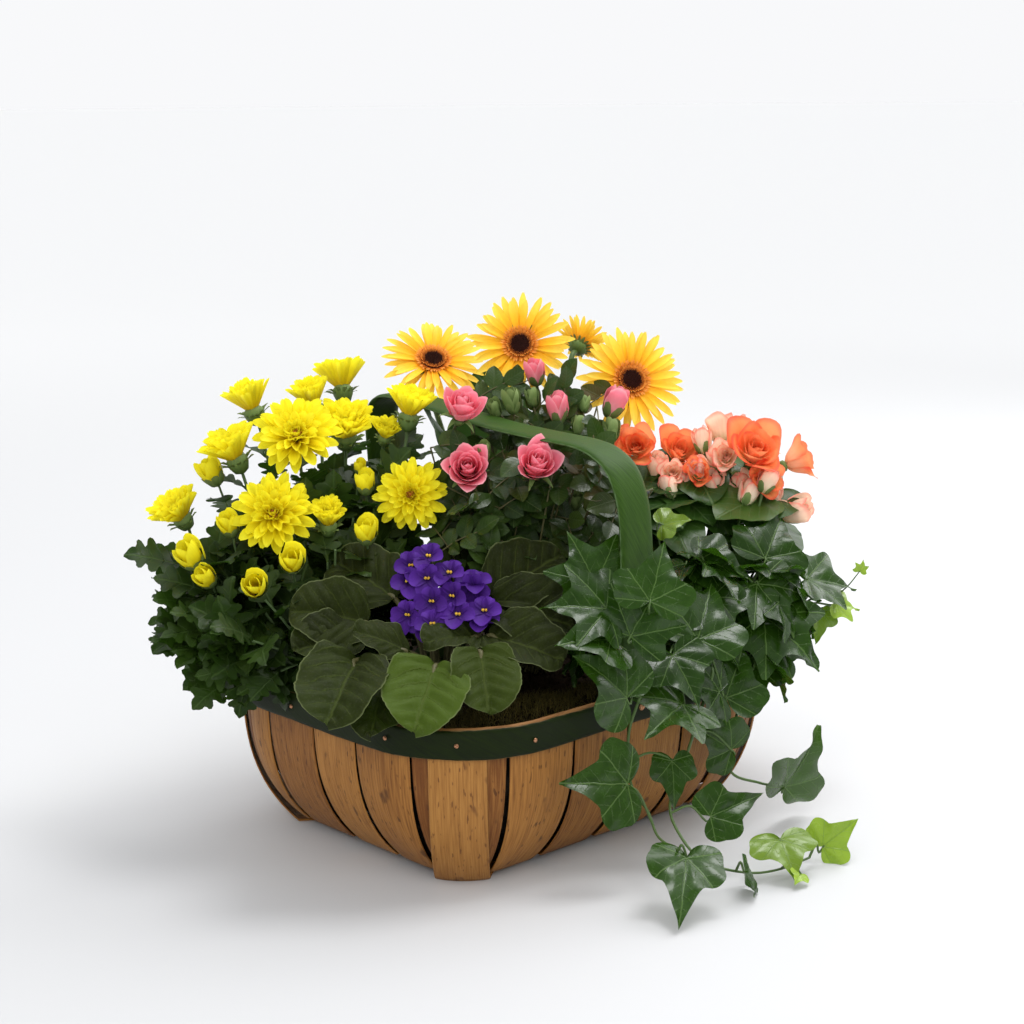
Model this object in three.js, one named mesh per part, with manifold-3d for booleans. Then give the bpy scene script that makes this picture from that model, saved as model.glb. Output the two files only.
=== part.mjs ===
// Flower basket arrangement: a splint basket with a fixed handle, planted with chrysanthemums,
// gerberas, a miniature rose, a begonia, an African violet and ivy.
//
// Millimetres, +Z up. The origin is on the table, under the middle of the basket. X runs along the
// basket's long side, Y across it, and the handle arches over the basket in the plane X = 0.

import * as THREE from "three";
import { mergeVertices } from "three/addons/utils/BufferGeometryUtils.js";
import Module from "manifold-3d";

const wasm = await Module();
wasm.setup();

// ---------------------------------------------------------------- driving dimensions
const GAP = 0.35; // clearance that touching pieces keep
const WALL_GAP = 0.75; // the same between the wall's layers, whose flats dip inside the arcs
const RIM = { length: 330, width: 270, corner: 78, top: 111 }; // outside of the rim band
const FLOOR = { length: 262, width: 202, corner: 42 }; // outline where the walls leave the floor
const WALL_CURVE = 3.2; // how late the wall turns in: 1 is a straight slope, higher stands up more
const BAND = { height: 19, thickness: 1.8 };
const HOOP = { height: 15, thickness: 3 };
const SLAT = { thickness: 1.4, top: 108.5, cornerWidth: 39, rimGap: 1.2, floorGap: 4.5 };
const CROSS_EDGES = [-128, -68, -16, 32, 70, 128]; // slat edges along a long wall, at the rim
const LENGTH_EDGES = [-98, -46, -2, 48, 98]; // slat edges along a short wall, at the rim
const LINER = { inset: 14.4, thickness: 1.1, top: 104, floor: 7.4 };
const SOIL_TOP = 96;
const HANDLE = { x: 3, width: 29, thickness: 3, inset: 10.6, top: 271, bend: 36, foot: 62 };
const RIVET = { radius: 2.6, dome: 1.1, spread: 7 };

// Facets, kept coarse: the plants' fine surface is not part of this model.
const ARC_STEPS = 8; // along each corner of a rim ring
const BEND_STEPS = 5; // along each bend of the handle
const STEM_SIDES = 4;
const HEAD_SIDES = 8;
const DISC_SIDES = 6; // a violet's small flowers and its crown
const LUMP_SIDES = [9, 6]; // round and down a lump of foliage
const WALL_ROWS = [1, 0.66, 0.42, 0.24, 0.1, 0]; // heights at which a slat's wall is set out
const LINER_ROWS = [0, 0.1, 0.3, 0.6, 1];

// Layers of the floor, from the table up: the underside of each set of slats.
const LAYER = SLAT.thickness + GAP;
const UNDERSIDE = { cross: 2 * LAYER, length: 3 * LAYER }; // the corner slats lie on the table
// How far each layer's middle lies inside the rim band's outer face.
const INSET_CORNER = BAND.thickness + WALL_GAP + SLAT.thickness / 2;
const INSET_WALL = INSET_CORNER + SLAT.thickness + WALL_GAP;
const INSET_HOOP = INSET_WALL + SLAT.thickness / 2 + WALL_GAP;

// ---------------------------------------------------------------- colours
const paint = (color, roughness = 0.6, metalness = 0) =>
  new THREE.MeshStandardMaterial({ color, roughness, metalness });
const MATERIAL = {
  wood: paint(0xb5834f, 0.65),
  cornerWood: paint(0xa87645, 0.65),
  greenPaint: paint(0x2c4a26, 0.5),
  hoopWood: paint(0x8a5f38, 0.7),
  copper: paint(0xa8643a, 0.35, 0.9),
  liner: paint(0x1c1c1a, 0.5),
  soil: paint(0x2a2018, 0.95),
  moss: paint(0x4a4a24, 0.95),
  mumYellow: paint(0xf2da1e, 0.6),
  mumLeaf: paint(0x24401c, 0.6),
  gerberaYellow: paint(0xf5b21d, 0.6),
  gerberaLeaf: paint(0x3f6424, 0.6),
  rosePink: paint(0xe06a86, 0.6),
  roseLeaf: paint(0x23391c, 0.5),
  begoniaCoral: paint(0xf2694a, 0.55),
  begoniaLeaf: paint(0x2c4a20, 0.45),
  violetPurple: paint(0x46189c, 0.6),
  violetLeaf: paint(0x3f5a2a, 0.8),
  ivyLeaf: paint(0x2b5226, 0.4),
};

// ---------------------------------------------------------------- solids from geometry
const group = new THREE.Group();
const add = (name, shape, material) => {
  const mesh = new THREE.Mesh(shape.isBufferGeometry ? shape : geometryOf(shape), material);
  mesh.name = name;
  group.add(mesh);
};

// A closed geometry as a solid that can be joined to others or cut by them.
function solidOf(geometry) {
  const bare = geometry.index ? geometry.toNonIndexed() : geometry.clone();
  bare.deleteAttribute("normal");
  bare.deleteAttribute("uv");
  const merged = mergeVertices(bare, 1e-4);
  return new wasm.Manifold(
    new wasm.Mesh({
      numProp: 3,
      vertProperties: merged.attributes.position.array,
      triVerts: new Uint32Array(merged.index.array),
    }),
  );
}

function geometryOf(solid) {
  const { vertProperties, triVerts } = solid.getMesh();
  const geometry = new THREE.BufferGeometry();
  geometry.setAttribute("position", new THREE.BufferAttribute(new Float32Array(vertProperties), 3));
  geometry.setIndex(new THREE.BufferAttribute(new Uint32Array(triVerts), 1));
  return geometry;
}

const levelIn = (low, high, share) => low + (high - low) * share;
const join = (solids) => solids.reduce((whole, piece) => whole.add(piece));
const cut = (solid, tools) => tools.reduce((left, tool) => left.subtract(tool), solid);
const largest = (solid) => solid.decompose().sort((a, b) => b.volume() - a.volume())[0];

// Rings of equal count, joined one after another, with a flat fan over each end.
function loft(rings) {
  const count = rings[0].length;
  const middle = (ring) =>
    ring.reduce((sum, p) => sum.add(p), new THREE.Vector3()).divideScalar(count);
  const points = [...rings.flat(), middle(rings[0]), middle(rings[rings.length - 1])];
  const [startMiddle, endMiddle] = [points.length - 2, points.length - 1];
  const faces = [];
  const lastRing = (rings.length - 1) * count;
  for (let i = 0; i < count; i++) {
    const next = (i + 1) % count;
    for (let r = 0; r < rings.length - 1; r++) {
      const [a, b, c, d] = [i, next, next + count, i + count].map((k) => k + r * count);
      faces.push(a, b, c, a, c, d);
    }
    faces.push(startMiddle, next, i, endMiddle, lastRing + i, lastRing + next);
  }
  if (signedVolume(points, faces) < 0) faces.reverse();
  const geometry = new THREE.BufferGeometry().setFromPoints(points);
  geometry.setIndex(faces);
  return geometry;
}

// Positive where the faces of a closed body point outwards.
function signedVolume(points, faces) {
  let sixfold = 0;
  for (let i = 0; i < faces.length; i += 3) {
    const [a, b, c] = [0, 1, 2].map((k) => points[faces[i + k]]);
    sixfold += a.dot(new THREE.Vector3().crossVectors(b, c));
  }
  return sixfold / 6;
}

// A strip of even thickness on a grid of surface points: rows run along it, columns across it.
function strip(rows, thickness) {
  const columns = rows[0].length;
  const normal = (r, c) => {
    const along = new THREE.Vector3().subVectors(
      rows[Math.min(r + 1, rows.length - 1)][c],
      rows[Math.max(r - 1, 0)][c],
    );
    const across = new THREE.Vector3().subVectors(
      rows[r][Math.min(c + 1, columns - 1)],
      rows[r][Math.max(c - 1, 0)],
    );
    return along.cross(across).normalize();
  };
  const face = (r, c, side) =>
    rows[r][c].clone().addScaledVector(normal(r, c), (side * thickness) / 2);
  const rings = rows.map((row, r) => [
    ...row.map((_, c) => face(r, c, 1)),
    ...row.map((_, c) => face(r, columns - 1 - c, -1)),
  ]);
  return loft(rings);
}

// ---------------------------------------------------------------- the basket's outline
// The wall leans out from the floor's outline to the rim's; height is 0 at the floor, 1 at the rim.
function outlineAt(height, inset) {
  const out = 1 - (1 - height) ** WALL_CURVE;
  const blend = (low, high) => low + (high - low) * out;
  return {
    halfX: blend(FLOOR.length, RIM.length) / 2 - inset,
    halfY: blend(FLOOR.width, RIM.width) / 2 - inset,
    corner: blend(FLOOR.corner, RIM.corner) - inset,
  };
}

// A closed ring of points round the outline at one level.
function ring(height, inset, z) {
  const { halfX, halfY, corner } = outlineAt(height, inset);
  const points = [];
  for (let quarter = 0; quarter < 4; quarter++) {
    const [signX, signY] = [[1, 1], [-1, 1], [-1, -1], [1, -1]][quarter];
    for (let k = 0; k <= ARC_STEPS; k++) {
      const angle = ((quarter + k / ARC_STEPS) * Math.PI) / 2;
      points.push(
        new THREE.Vector3(
          signX * (halfX - corner) + corner * Math.cos(angle),
          signY * (halfY - corner) + corner * Math.sin(angle),
          z,
        ),
      );
    }
  }
  return points;
}

// A hoop of rectangular section that follows the rim.
function rimHoop(inset, thickness, low, high) {
  const outer = loft([ring(1, inset, low), ring(1, inset, high)]);
  const inner = loft([ring(1, inset + thickness, low - 1), ring(1, inset + thickness, high + 1)]);
  return solidOf(outer).subtract(solidOf(inner));
}

// ---------------------------------------------------------------- slats
// A point on a wall, as its place along the wall and out from the basket's middle. `along` is its
// distance from the wall's middle, measured at the rim, and runs into the corner arcs. `swap` is
// true for the short walls.
function wallPoint(along, height, swap) {
  const { halfX, halfY, corner } = outlineAt(height, INSET_WALL);
  const rim = outlineAt(1, INSET_WALL);
  const [halfAlong, halfOut] = swap ? [halfY, halfX] : [halfX, halfY];
  const rimStraight = (swap ? rim.halfY : rim.halfX) - rim.corner;
  const straight = halfAlong - corner;
  const [size, sign] = [Math.abs(along), Math.sign(along)];
  if (size <= rimStraight) return [(along * straight) / rimStraight, halfOut];
  const angle = (size - rimStraight) / rim.corner;
  return [
    sign * (straight + corner * Math.sin(angle)),
    halfOut - corner * (1 - Math.cos(angle)),
  ];
}

// One slat from rim to rim: down one wall, across the floor and up the opposite wall.
function wallSlat(from, to, columns, under, swap) {
  const floorMiddle = under + SLAT.thickness / 2;
  const rowAt = (height, side) =>
    Array.from({ length: columns }, (_, c) => {
      const gap = SLAT.rimGap + (SLAT.floorGap - SLAT.rimGap) * (1 - height) ** 2;
      const share = c / (columns - 1);
      const along = THREE.MathUtils.lerp(from + gap / 2, to - gap / 2, share);
      const [a, out] = wallPoint(along, height, swap);
      const z = floorMiddle + (SLAT.top - floorMiddle) * height;
      return swap ? new THREE.Vector3(side * out, a, z) : new THREE.Vector3(a, side * out, z);
    });
  const rows = [
    ...WALL_ROWS.map((height) => rowAt(height, -1)),
    ...[...WALL_ROWS].reverse().map((height) => rowAt(height, 1)),
  ];
  return strip(rows, SLAT.thickness);
}

// A corner slat runs outside the others, down one corner, across the floor on the diagonal and up
// the opposite corner. The second diagonal humps over the first where they cross.
function cornerSlat(mirror, hump) {
  const half = SLAT.cornerWidth / 2;
  const middle = SLAT.thickness / 2;
  const rowAt = (height, end) =>
    [-half, -half / 3, half / 3, half].map((w) => {
      const { halfX, halfY, corner } = outlineAt(height, INSET_CORNER);
      const angle = Math.PI / 4 + (end * w) / corner;
      const x = end * (halfX - corner + corner * Math.cos(angle));
      const y = end * (halfY - corner + corner * Math.sin(angle));
      return new THREE.Vector3(x, mirror * y, middle + (SLAT.top - middle) * height);
    });
  const down = WALL_ROWS.map((height) => rowAt(height, -1));
  const up = [...WALL_ROWS].reverse().map((height) => rowAt(height, 1));
  const HUMP_SHARES = [0.3, 0.36, 0.64, 0.7];
  const floor = HUMP_SHARES.map((share, k) =>
    down[down.length - 1].map((p, c) =>
      p.clone().lerp(up[0][c], share).setZ(middle + (k === 1 || k === 2 ? hump : 0)),
    ),
  );
  const rows = [...down, ...floor, ...up];
  return strip(rows, SLAT.thickness);
}

CROSS_EDGES.slice(0, -1).forEach((from, i) => {
  const columns = i === 0 || i === CROSS_EDGES.length - 2 ? 5 : 2;
  const slat = wallSlat(from, CROSS_EDGES[i + 1], columns, UNDERSIDE.cross, false);
  add(`slat_cross_${i + 1}`, slat, MATERIAL.wood);
});
LENGTH_EDGES.slice(0, -1).forEach((from, i) => {
  const columns = i === 0 || i === LENGTH_EDGES.length - 2 ? 5 : 2;
  const slat = wallSlat(from, LENGTH_EDGES[i + 1], columns, UNDERSIDE.length, true);
  add(`slat_length_${i + 1}`, slat, MATERIAL.wood);
});
add("slat_corner_1", cornerSlat(1, 0), MATERIAL.cornerWood);
add("slat_corner_2", cornerSlat(-1, LAYER), MATERIAL.cornerWood);

// ---------------------------------------------------------------- rim, handle, liner, soil
const bandLow = RIM.top - BAND.height;
add("rim_band", rimHoop(0, BAND.thickness, bandLow, RIM.top), MATERIAL.greenPaint);
const hoopTop = RIM.top - 1;
add("inner_hoop", rimHoop(INSET_HOOP, HOOP.thickness, hoopTop - HOOP.height, hoopTop), MATERIAL.hoopWood);

// The handle is one bent splint, nailed inside both long walls. Grown by `grow` it cuts room for
// itself in the foliage.
function handleSolid(grow) {
  const half = HANDLE.width / 2 + grow;
  const legY = RIM.width / 2 - HANDLE.inset - HANDLE.thickness / 2;
  const path = [[-legY, HANDLE.foot - grow]];
  for (const side of [-1, 1])
    for (let k = 0; k <= BEND_STEPS; k++) {
      const angle = ((k / BEND_STEPS) * Math.PI) / 2;
      const turn = side < 0 ? angle : Math.PI / 2 - angle;
      path.push([
        side * (legY - HANDLE.bend + HANDLE.bend * Math.cos(turn)),
        HANDLE.top - HANDLE.bend + HANDLE.bend * Math.sin(turn),
      ]);
    }
  path.push([legY, HANDLE.foot - grow]);
  const rows = path.map(([y, z]) => [half, -half].map((x) => new THREE.Vector3(HANDLE.x + x, y, z)));
  return solidOf(strip(rows, HANDLE.thickness + 2 * grow));
}
add("handle", handleSolid(0), MATERIAL.greenPaint);

// Copper rivets, two through the band at each foot of the handle: their domed heads.
for (const side of [-1, 1])
  for (const shift of [-1, 1]) {
    const profile = [
      [0, 0],
      [RIVET.radius, 0],
      [RIVET.radius * 0.7, RIVET.dome * 0.75],
      [0, RIVET.dome],
    ].map(([r, h]) => new THREE.Vector2(r, h));
    const head = new THREE.LatheGeometry(profile, 8);
    if (side < 0) head.rotateX(Math.PI);
    head.translate(
      HANDLE.x + shift * RIVET.spread,
      side * (RIM.width / 2 + GAP),
      RIM.top - BAND.height / 2,
    );
    add(`rivet_${side < 0 ? "front" : "back"}_${shift < 0 ? 1 : 2}`, head, MATERIAL.copper);
  }

const linerRing = (height, extra, z) => ring(height, LINER.inset + extra, z);
add(
  "liner",
  loft([
    ...LINER_ROWS.map((h) => linerRing(h, 0, levelIn(LINER.floor, LINER.top, h))),
    ...[...LINER_ROWS]
      .reverse()
      .map((h) =>
        linerRing(h, LINER.thickness, levelIn(LINER.floor + LINER.thickness, LINER.top, h)),
      ),
  ]),
  MATERIAL.liner,
);
// The soil fills the liner up to its own level.
const soilLow = LINER.floor + LINER.thickness + GAP;
const fill = loft(
  LINER_ROWS.map((h) => linerRing(h, LINER.thickness + GAP, levelIn(soilLow, LINER.top + GAP, h))),
);
const aboveSoil = new THREE.BoxGeometry(400, 400, 50).translate(0, 0, SOIL_TOP + 25);
add("soil", solidOf(fill).subtract(solidOf(aboveSoil)), MATERIAL.soil);

// Everything that grows keeps clear of the wall's ring and of the handle.
const OVERHANG = 0.9; // clearance of foliage over the rim
const BELOW = -5; // a level under the whole basket, for cutting tools
const plantFloor = SOIL_TOP + GAP;
const LINER_INSIDE = LINER.inset + LINER.thickness + 1;
const innerSpace = solidOf(
  loft([ring(1, LINER_INSIDE, plantFloor), ring(1, LINER_INSIDE, RIM.top + 1)]),
);
const rimBlock = solidOf(
  loft([ring(1, -OVERHANG, BELOW), ring(1, -OVERHANG, RIM.top + OVERHANG)]),
).subtract(innerSpace);
const soilSpace = solidOf(
  loft([ring(1, LINER_INSIDE, BELOW), ring(1, LINER_INSIDE, plantFloor)]),
);
const handleSpace = handleSolid(GAP);

// ---------------------------------------------------------------- stems, heads and leaves
const vector = ([x, y, z]) => new THREE.Vector3(x, y, z);

// The way a bloom faces: `tilt` from straight up, towards compass direction `turn` (0 is +X).
function facing(tilt, turn) {
  const [t, a] = [tilt, turn].map(THREE.MathUtils.degToRad);
  return new THREE.Vector3(Math.sin(t) * Math.cos(a), Math.sin(t) * Math.sin(a), Math.cos(t));
}

const smooth = (points) => new THREE.CatmullRomCurve3(points, false, "centripetal");

function tube(points, radius, steps) {
  const section = new THREE.Shape(
    Array.from({ length: STEM_SIDES }, (_, k) => {
      const angle = (k / STEM_SIDES) * 2 * Math.PI;
      return new THREE.Vector2(radius * Math.cos(angle), radius * Math.sin(angle));
    }),
  );
  const extrudePath = smooth(points);
  return solidOf(new THREE.ExtrudeGeometry(section, { steps, extrudePath }));
}

// A turned head: the profile's second number runs along the way it faces.
function turned(profile, segments, at, towards) {
  const geometry = new THREE.LatheGeometry(
    profile.map(([r, h]) => new THREE.Vector2(r, h)),
    segments,
  );
  const up = new THREE.Vector3(0, 1, 0);
  geometry.applyQuaternion(new THREE.Quaternion().setFromUnitVectors(up, towards));
  geometry.translate(at.x, at.y, at.z);
  return solidOf(geometry);
}

// Heads, turned about the way they face: radius and height from the widest circle.
const HEAD_PROFILE = {
  ray: (radius, back, front) => [
    [0, -back],
    [radius * 0.35, -back * 0.75],
    [radius, 0],
    [radius * 0.55, front * 0.5],
    [0, front],
  ],
  cup: (radius, back, front) => [
    [0, -back],
    [radius * 0.6, -back * 0.7],
    [radius, front],
    [radius * 0.6, front * 1.4],
    [0, front],
  ],
  bud: (radius, back) => [
    [0, -back],
    [radius * 0.8, -back * 0.5],
    [radius, 0],
    [radius * 0.6, back * 0.7],
    [0, back],
  ],
};

// A bloom on its stem. The stem leaves the soil near the plant's crown, leans out and meets the
// bloom from behind. `grow` makes the same bloom larger all round, as a cutting tool.
const ROOT_SPREAD = 0.3; // share of a bloom's distance from the crown at which its stem leaves the soil
const STEM_RISE = 10; // straight start of a stem
const NECK = { back: 14, drop: 6 }; // where a stem bends towards its bloom
const KNEE = { across: 0.4, up: 0.5 }; // shares of the way at which a stem leans out
function bloom({ at, size, tilt, turn, depth, form = "ray", stem = 1.4 }, crown, grow) {
  const towards = facing(tilt, turn);
  const centre = vector(at);
  const radius = size / 2 + grow;
  const [back, front] = [depth * size, depth * size * 0.45];
  const profile = HEAD_PROFILE[form](radius, back, front).map(([r, h], i, all) => [
    r,
    h + (i === 0 ? -grow : i === all.length - 1 ? grow : 0),
  ]);
  const head = turned(profile, HEAD_SIDES, centre, towards);
  const root = new THREE.Vector3(...crown, plantFloor - grow).lerp(
    new THREE.Vector3(at[0], at[1], plantFloor - grow),
    ROOT_SPREAD,
  );
  const foot = root.clone().setZ(root.z + STEM_RISE);
  const neck = centre.clone().addScaledVector(towards, -back * 0.8);
  const below = neck.clone().addScaledVector(towards, -NECK.back);
  below.z -= NECK.drop;
  const knee = root.clone().lerp(below, KNEE.across);
  knee.z = levelIn(root.z, below.z, KNEE.up);
  return head.add(tube([root, foot, knee, below, neck], stem + grow, 4));
}

// A flat leaf blade cut from an outline, its foot at `at`, running along `towards`.
const LEAF_THICKNESS = 1;
function blade(outline, size, at, towards, face, grow = 0) {
  const grown = size + 4 * grow;
  const shape = new THREE.Shape(
    outline.map(([x, y]) => new THREE.Vector2(x * grown, (y - 0.5) * grown + size / 2)),
  );
  const depth = LEAF_THICKNESS + 2 * grow;
  const geometry = new THREE.ExtrudeGeometry(shape, { depth, bevelEnabled: false });
  geometry.translate(0, 0, -depth / 2);
  const yAxis = towards.clone().normalize();
  const xAxis = new THREE.Vector3().crossVectors(yAxis, face).normalize();
  const zAxis = new THREE.Vector3().crossVectors(xAxis, yAxis);
  geometry.applyMatrix4(new THREE.Matrix4().makeBasis(xAxis, yAxis, zAxis));
  geometry.translate(at.x, at.y, at.z);
  return solidOf(geometry);
}

const mirrored = (half) => [...half, ...half.slice(1, -1).reverse().map(([x, y]) => [-x, y])];
const IVY_OUTLINE = mirrored([
  [0, 0.06],
  [0.22, -0.1],
  [0.5, 0.12],
  [0.24, 0.36],
  [0.3, 0.62],
  [0.12, 0.62],
  [0, 1],
]);
const ROUND_OUTLINE = mirrored([[0, 0], [0.3, 0.08], [0.46, 0.42], [0.36, 0.8], [0, 1]]);
const LANCE_OUTLINE = mirrored([[0, 0], [0.08, 0.1], [0.17, 0.5], [0.12, 0.8], [0, 1]]);

// A mass of small leaves, as joined lumps. `grow` enlarges it as a cutting tool.
function foliage(lumps, grow) {
  return join(
    lumps.map(([x, y, z, rx, ry, rz]) => {
      const lump = new THREE.SphereGeometry(1, ...LUMP_SIDES);
      lump.rotateX(Math.PI / 2);
      lump.scale(rx + grow, ry + grow, rz + grow);
      lump.translate(x, y, z);
      return solidOf(lump);
    }),
  );
}
// Foliage may hang outside the rim, and stands on the soil inside it.
const trimFoliage = (solid, tools) =>
  largest(cut(solid, [rimBlock, soilSpace, handleSpace, ...tools]));

// ---------------------------------------------------------------- the planting
const FRONT = 227; // compass direction of the basket's near corner

const MUM = {
  crown: [-95, 68],
  blooms: [
    { at: [-112, 130, 280], size: 42, tilt: 15, turn: 140, depth: 0.3 },
    { at: [-108, 85, 264], size: 52, tilt: 50, turn: FRONT, depth: 0.25 },
    { at: [-66, 121, 277], size: 38, tilt: 15, turn: 160, depth: 0.3 },
    { at: [-26, 112, 290], size: 40, tilt: 25, turn: 60, depth: 0.3 },
    { at: [-65, 87, 260], size: 42, tilt: 25, turn: 240, depth: 0.3, form: "cup" },
    { at: [-52, 60, 261], size: 22, tilt: 30, turn: 250, depth: 0.4, form: "cup" },
    { at: [-39, 49, 277], size: 38, tilt: 12, turn: 300, depth: 0.3, form: "cup" },
    { at: [-139, 114, 252], size: 42, tilt: 25, turn: 150, depth: 0.3 },
    { at: [-173, 131, 213], size: 38, tilt: 35, turn: 150, depth: 0.3 },
    { at: [-144, 64, 219], size: 50, tilt: 60, turn: FRONT, depth: 0.25 },
    { at: [-112, 48, 212], size: 30, tilt: 20, turn: FRONT, depth: 0.4, form: "cup" },
    { at: [-65, 19, 227], size: 46, tilt: 72, turn: FRONT, depth: 0.25 },
  ],
  lumps: [
    [-100, 78, 160, 76, 60, 66],
    [-165, 92, 150, 42, 62, 50],
    [-60, 95, 168, 52, 44, 66],
    [-158, 40, 150, 48, 36, 44],
  ],
};

const GERBERA = {
  crown: [72, 60],
  blooms: [
    { at: [45, 122, 296], size: 74, tilt: 48, turn: 235, depth: 0.14, stem: 2.2 },
    { at: [71, 57, 311], size: 72, tilt: 66, turn: FRONT, depth: 0.14, stem: 2.2 },
    { at: [147, 74, 302], size: 44, tilt: 60, turn: 20, depth: 0.24, stem: 2.2, form: "cup" },
    { at: [137, 11, 283], size: 76, tilt: 64, turn: 240, depth: 0.14, stem: 2.2 },
  ],
  leaves: [
    { tip: [24, 108, 262], turn: 130 },
    { tip: [84, 116, 262], turn: 70 },
    { tip: [150, 74, 240], turn: 20 },
  ],
};

const ROSE = {
  crown: [8, 6],
  blooms: [
    { at: [-29, 6, 284], size: 31, tilt: 35, turn: 250, depth: 0.45, form: "bud" },
    { at: [-37, -7, 245], size: 36, tilt: 65, turn: FRONT, depth: 0.34, form: "cup" },
    { at: [-14, -49, 252], size: 34, tilt: 40, turn: 240, depth: 0.4, form: "cup" },
    { at: [65, 35, 292], size: 16, tilt: 15, turn: 200, depth: 0.7, form: "bud" },
    { at: [104, -4, 270], size: 20, tilt: 25, turn: 320, depth: 0.5, form: "bud" },
  ],
  lumps: [
    [-38, -4, 158, 34, 44, 62],
    [2, 0, 152, 42, 52, 62],
    [56, 22, 178, 38, 42, 80],
  ],
};

const BEGONIA = {
  crown: [120, -36],
  blooms: [
    { at: [110, -20, 244], size: 32, tilt: 60, turn: 215, depth: 0.36, form: "cup" },
    { at: [138, -34, 240], size: 24, tilt: 50, turn: FRONT, depth: 0.4, form: "cup" },
    { at: [170, -47, 250], size: 32, tilt: 20, turn: 90, depth: 0.36, form: "cup" },
    { at: [155, -88, 243], size: 46, tilt: 40, turn: 240, depth: 0.3, form: "cup" },
    { at: [195, -97, 231], size: 30, tilt: 60, turn: 330, depth: 0.36, form: "cup" },
    { at: [184, -106, 198], size: 24, tilt: 80, turn: 300, depth: 0.5, form: "bud" },
  ],
  lumps: [
    [128, -38, 158, 56, 48, 56],
    [166, -72, 162, 36, 34, 40],
    [150, 30, 150, 44, 50, 48],
  ],
};

const VIOLET = {
  crown: [-98, -52, 100],
  stalk: 2,
  flowerRoot: [-92, -38],
  flowerStalk: 1.3,
  flowerDepth: 4,
  flowers: [
    [-111, -34, 162], [-104, -50, 160], [-90, -56, 164], [-77, -66, 166], [-69, -50, 178],
    [-80, -40, 184], [-94, -30, 184], [-84, -22, 192], [-100, -18, 180],
  ],
  flowerSize: 25,
  leaves: [
    { tip: [-118, 44, 176], size: 62 },
    { tip: [-168, 24, 150], size: 66 },
    { tip: [-196, -34, 122], size: 70 },
    { tip: [-160, -92, 116], size: 66 },
    { tip: [-132, -120, 122], size: 58 },
    { tip: [-92, -134, 128], size: 58 },
    { tip: [-42, -112, 140], size: 58 },
    { tip: [-30, -74, 178], size: 62 },
    { tip: [-46, -30, 190], size: 50 },
  ],
};

// Moss laid over the soil along the front.
const MOSS = {
  lumps: [
    [-62, -84, 94, 52, 28, 15],
    [14, -90, 94, 48, 24, 14],
  ],
};

const IVY = {
  stem: 1.5,
  stalk: 1,
  lumps: [
    [4, -96, 146, 40, 34, 48],
    [84, -108, 142, 52, 36, 48],
    [134, -124, 134, 44, 34, 44],
  ],
  vines: [
    {
      name: "ivy_vine_front",
      path: [
        [24, -116, 118], [20, -141, 116], [10, -156, 84],
        [-6, -170, 48], [-22, -192, 28], [-44, -214, 44],
      ],
      leaves: [
        { at: [-24, -156, 84], tip: [-88, -166, 62], size: 58 },
        { at: [-44, -216, 46], tip: [-76, -238, 3], size: 60 },
        { at: [4, -160, 74], tip: [36, -166, 40], size: 50 },
      ],
    },
    {
      name: "ivy_vine_long",
      path: [
        [70, -118, 118], [66, -142, 116], [56, -158, 70], [36, -176, 36],
        [14, -196, 12], [22, -220, 4], [56, -226, 8],
      ],
      leaves: [
        { at: [58, -156, 74], tip: [86, -160, 44], size: 46 },
        { at: [36, -180, 40], tip: [-4, -198, 20], size: 54 },
        { at: [12, -208, 9], tip: [-14, -240, 5], size: 40, tilt: 8 },
        { at: [32, -222, 8], tip: [44, -216, 44], size: 42 },
        { at: [62, -226, 23], tip: [104, -232, 38], size: 44 },
      ],
    },
    {
      name: "ivy_vine_side",
      path: [[112, -118, 112], [116, -146, 112], [118, -160, 64], [106, -170, 34]],
      leaves: [
        { at: [104, -172, 32], tip: [152, -186, 74], size: 58 },
        { at: [118, -158, 78], tip: [150, -164, 58], size: 46 },
      ],
    },
  ],
};

// Blooms stand first: foliage is cut to let their stems through.
const PLANTS = [
  ["mum", MUM, MATERIAL.mumYellow],
  ["gerbera", GERBERA, MATERIAL.gerberaYellow],
  ["rose", ROSE, MATERIAL.rosePink],
  ["begonia", BEGONIA, MATERIAL.begoniaCoral],
];
const bloomSpaces = [];
for (const [name, plant, material] of PLANTS)
  plant.blooms.forEach((spec, i) => {
    add(`${name}_flower_${i + 1}`, cut(bloom(spec, plant.crown, 0), [handleSpace]), material);
    bloomSpaces.push(bloom(spec, plant.crown, GAP));
  });

// African violet: a rosette of stalked round leaves, and flowers on stalks from the same crown.
const HEART = { radius: 12, depth: 3.3, height: 8 };
const LEAF_CLEARANCE = 9; // of the low leaves' feet over the rim
function violetLeaves(grow) {
  const crown = vector(VIOLET.crown);
  const profile = [
    [0, -HEART.depth],
    [HEART.radius + grow, -HEART.depth * 0.6],
    [HEART.radius * 0.8, HEART.height * 0.75],
    [0, HEART.height + grow],
  ];
  const heart = turned(profile, DISC_SIDES, crown, facing(0, 0));
  const leaves = VIOLET.leaves.map(({ tip, size }) => {
    const end = vector(tip);
    const outward = end.clone().sub(crown).setZ(0).normalize();
    const foot = end.clone().addScaledVector(outward, -size * 0.96);
    foot.z = Math.max(end.z - size * 0.16, RIM.top + LEAF_CLEARANCE);
    const along = end.clone().sub(foot);
    const start = crown.clone().addScaledVector(outward, HEART.radius / 3);
    const stalk = tube([start, foot.clone().addScaledVector(along, 0.12)], VIOLET.stalk + grow, 1);
    return blade(ROUND_OUTLINE, size, foot, along, facing(0, 0), grow).add(stalk);
  });
  return join([heart, ...leaves]);
}
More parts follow.
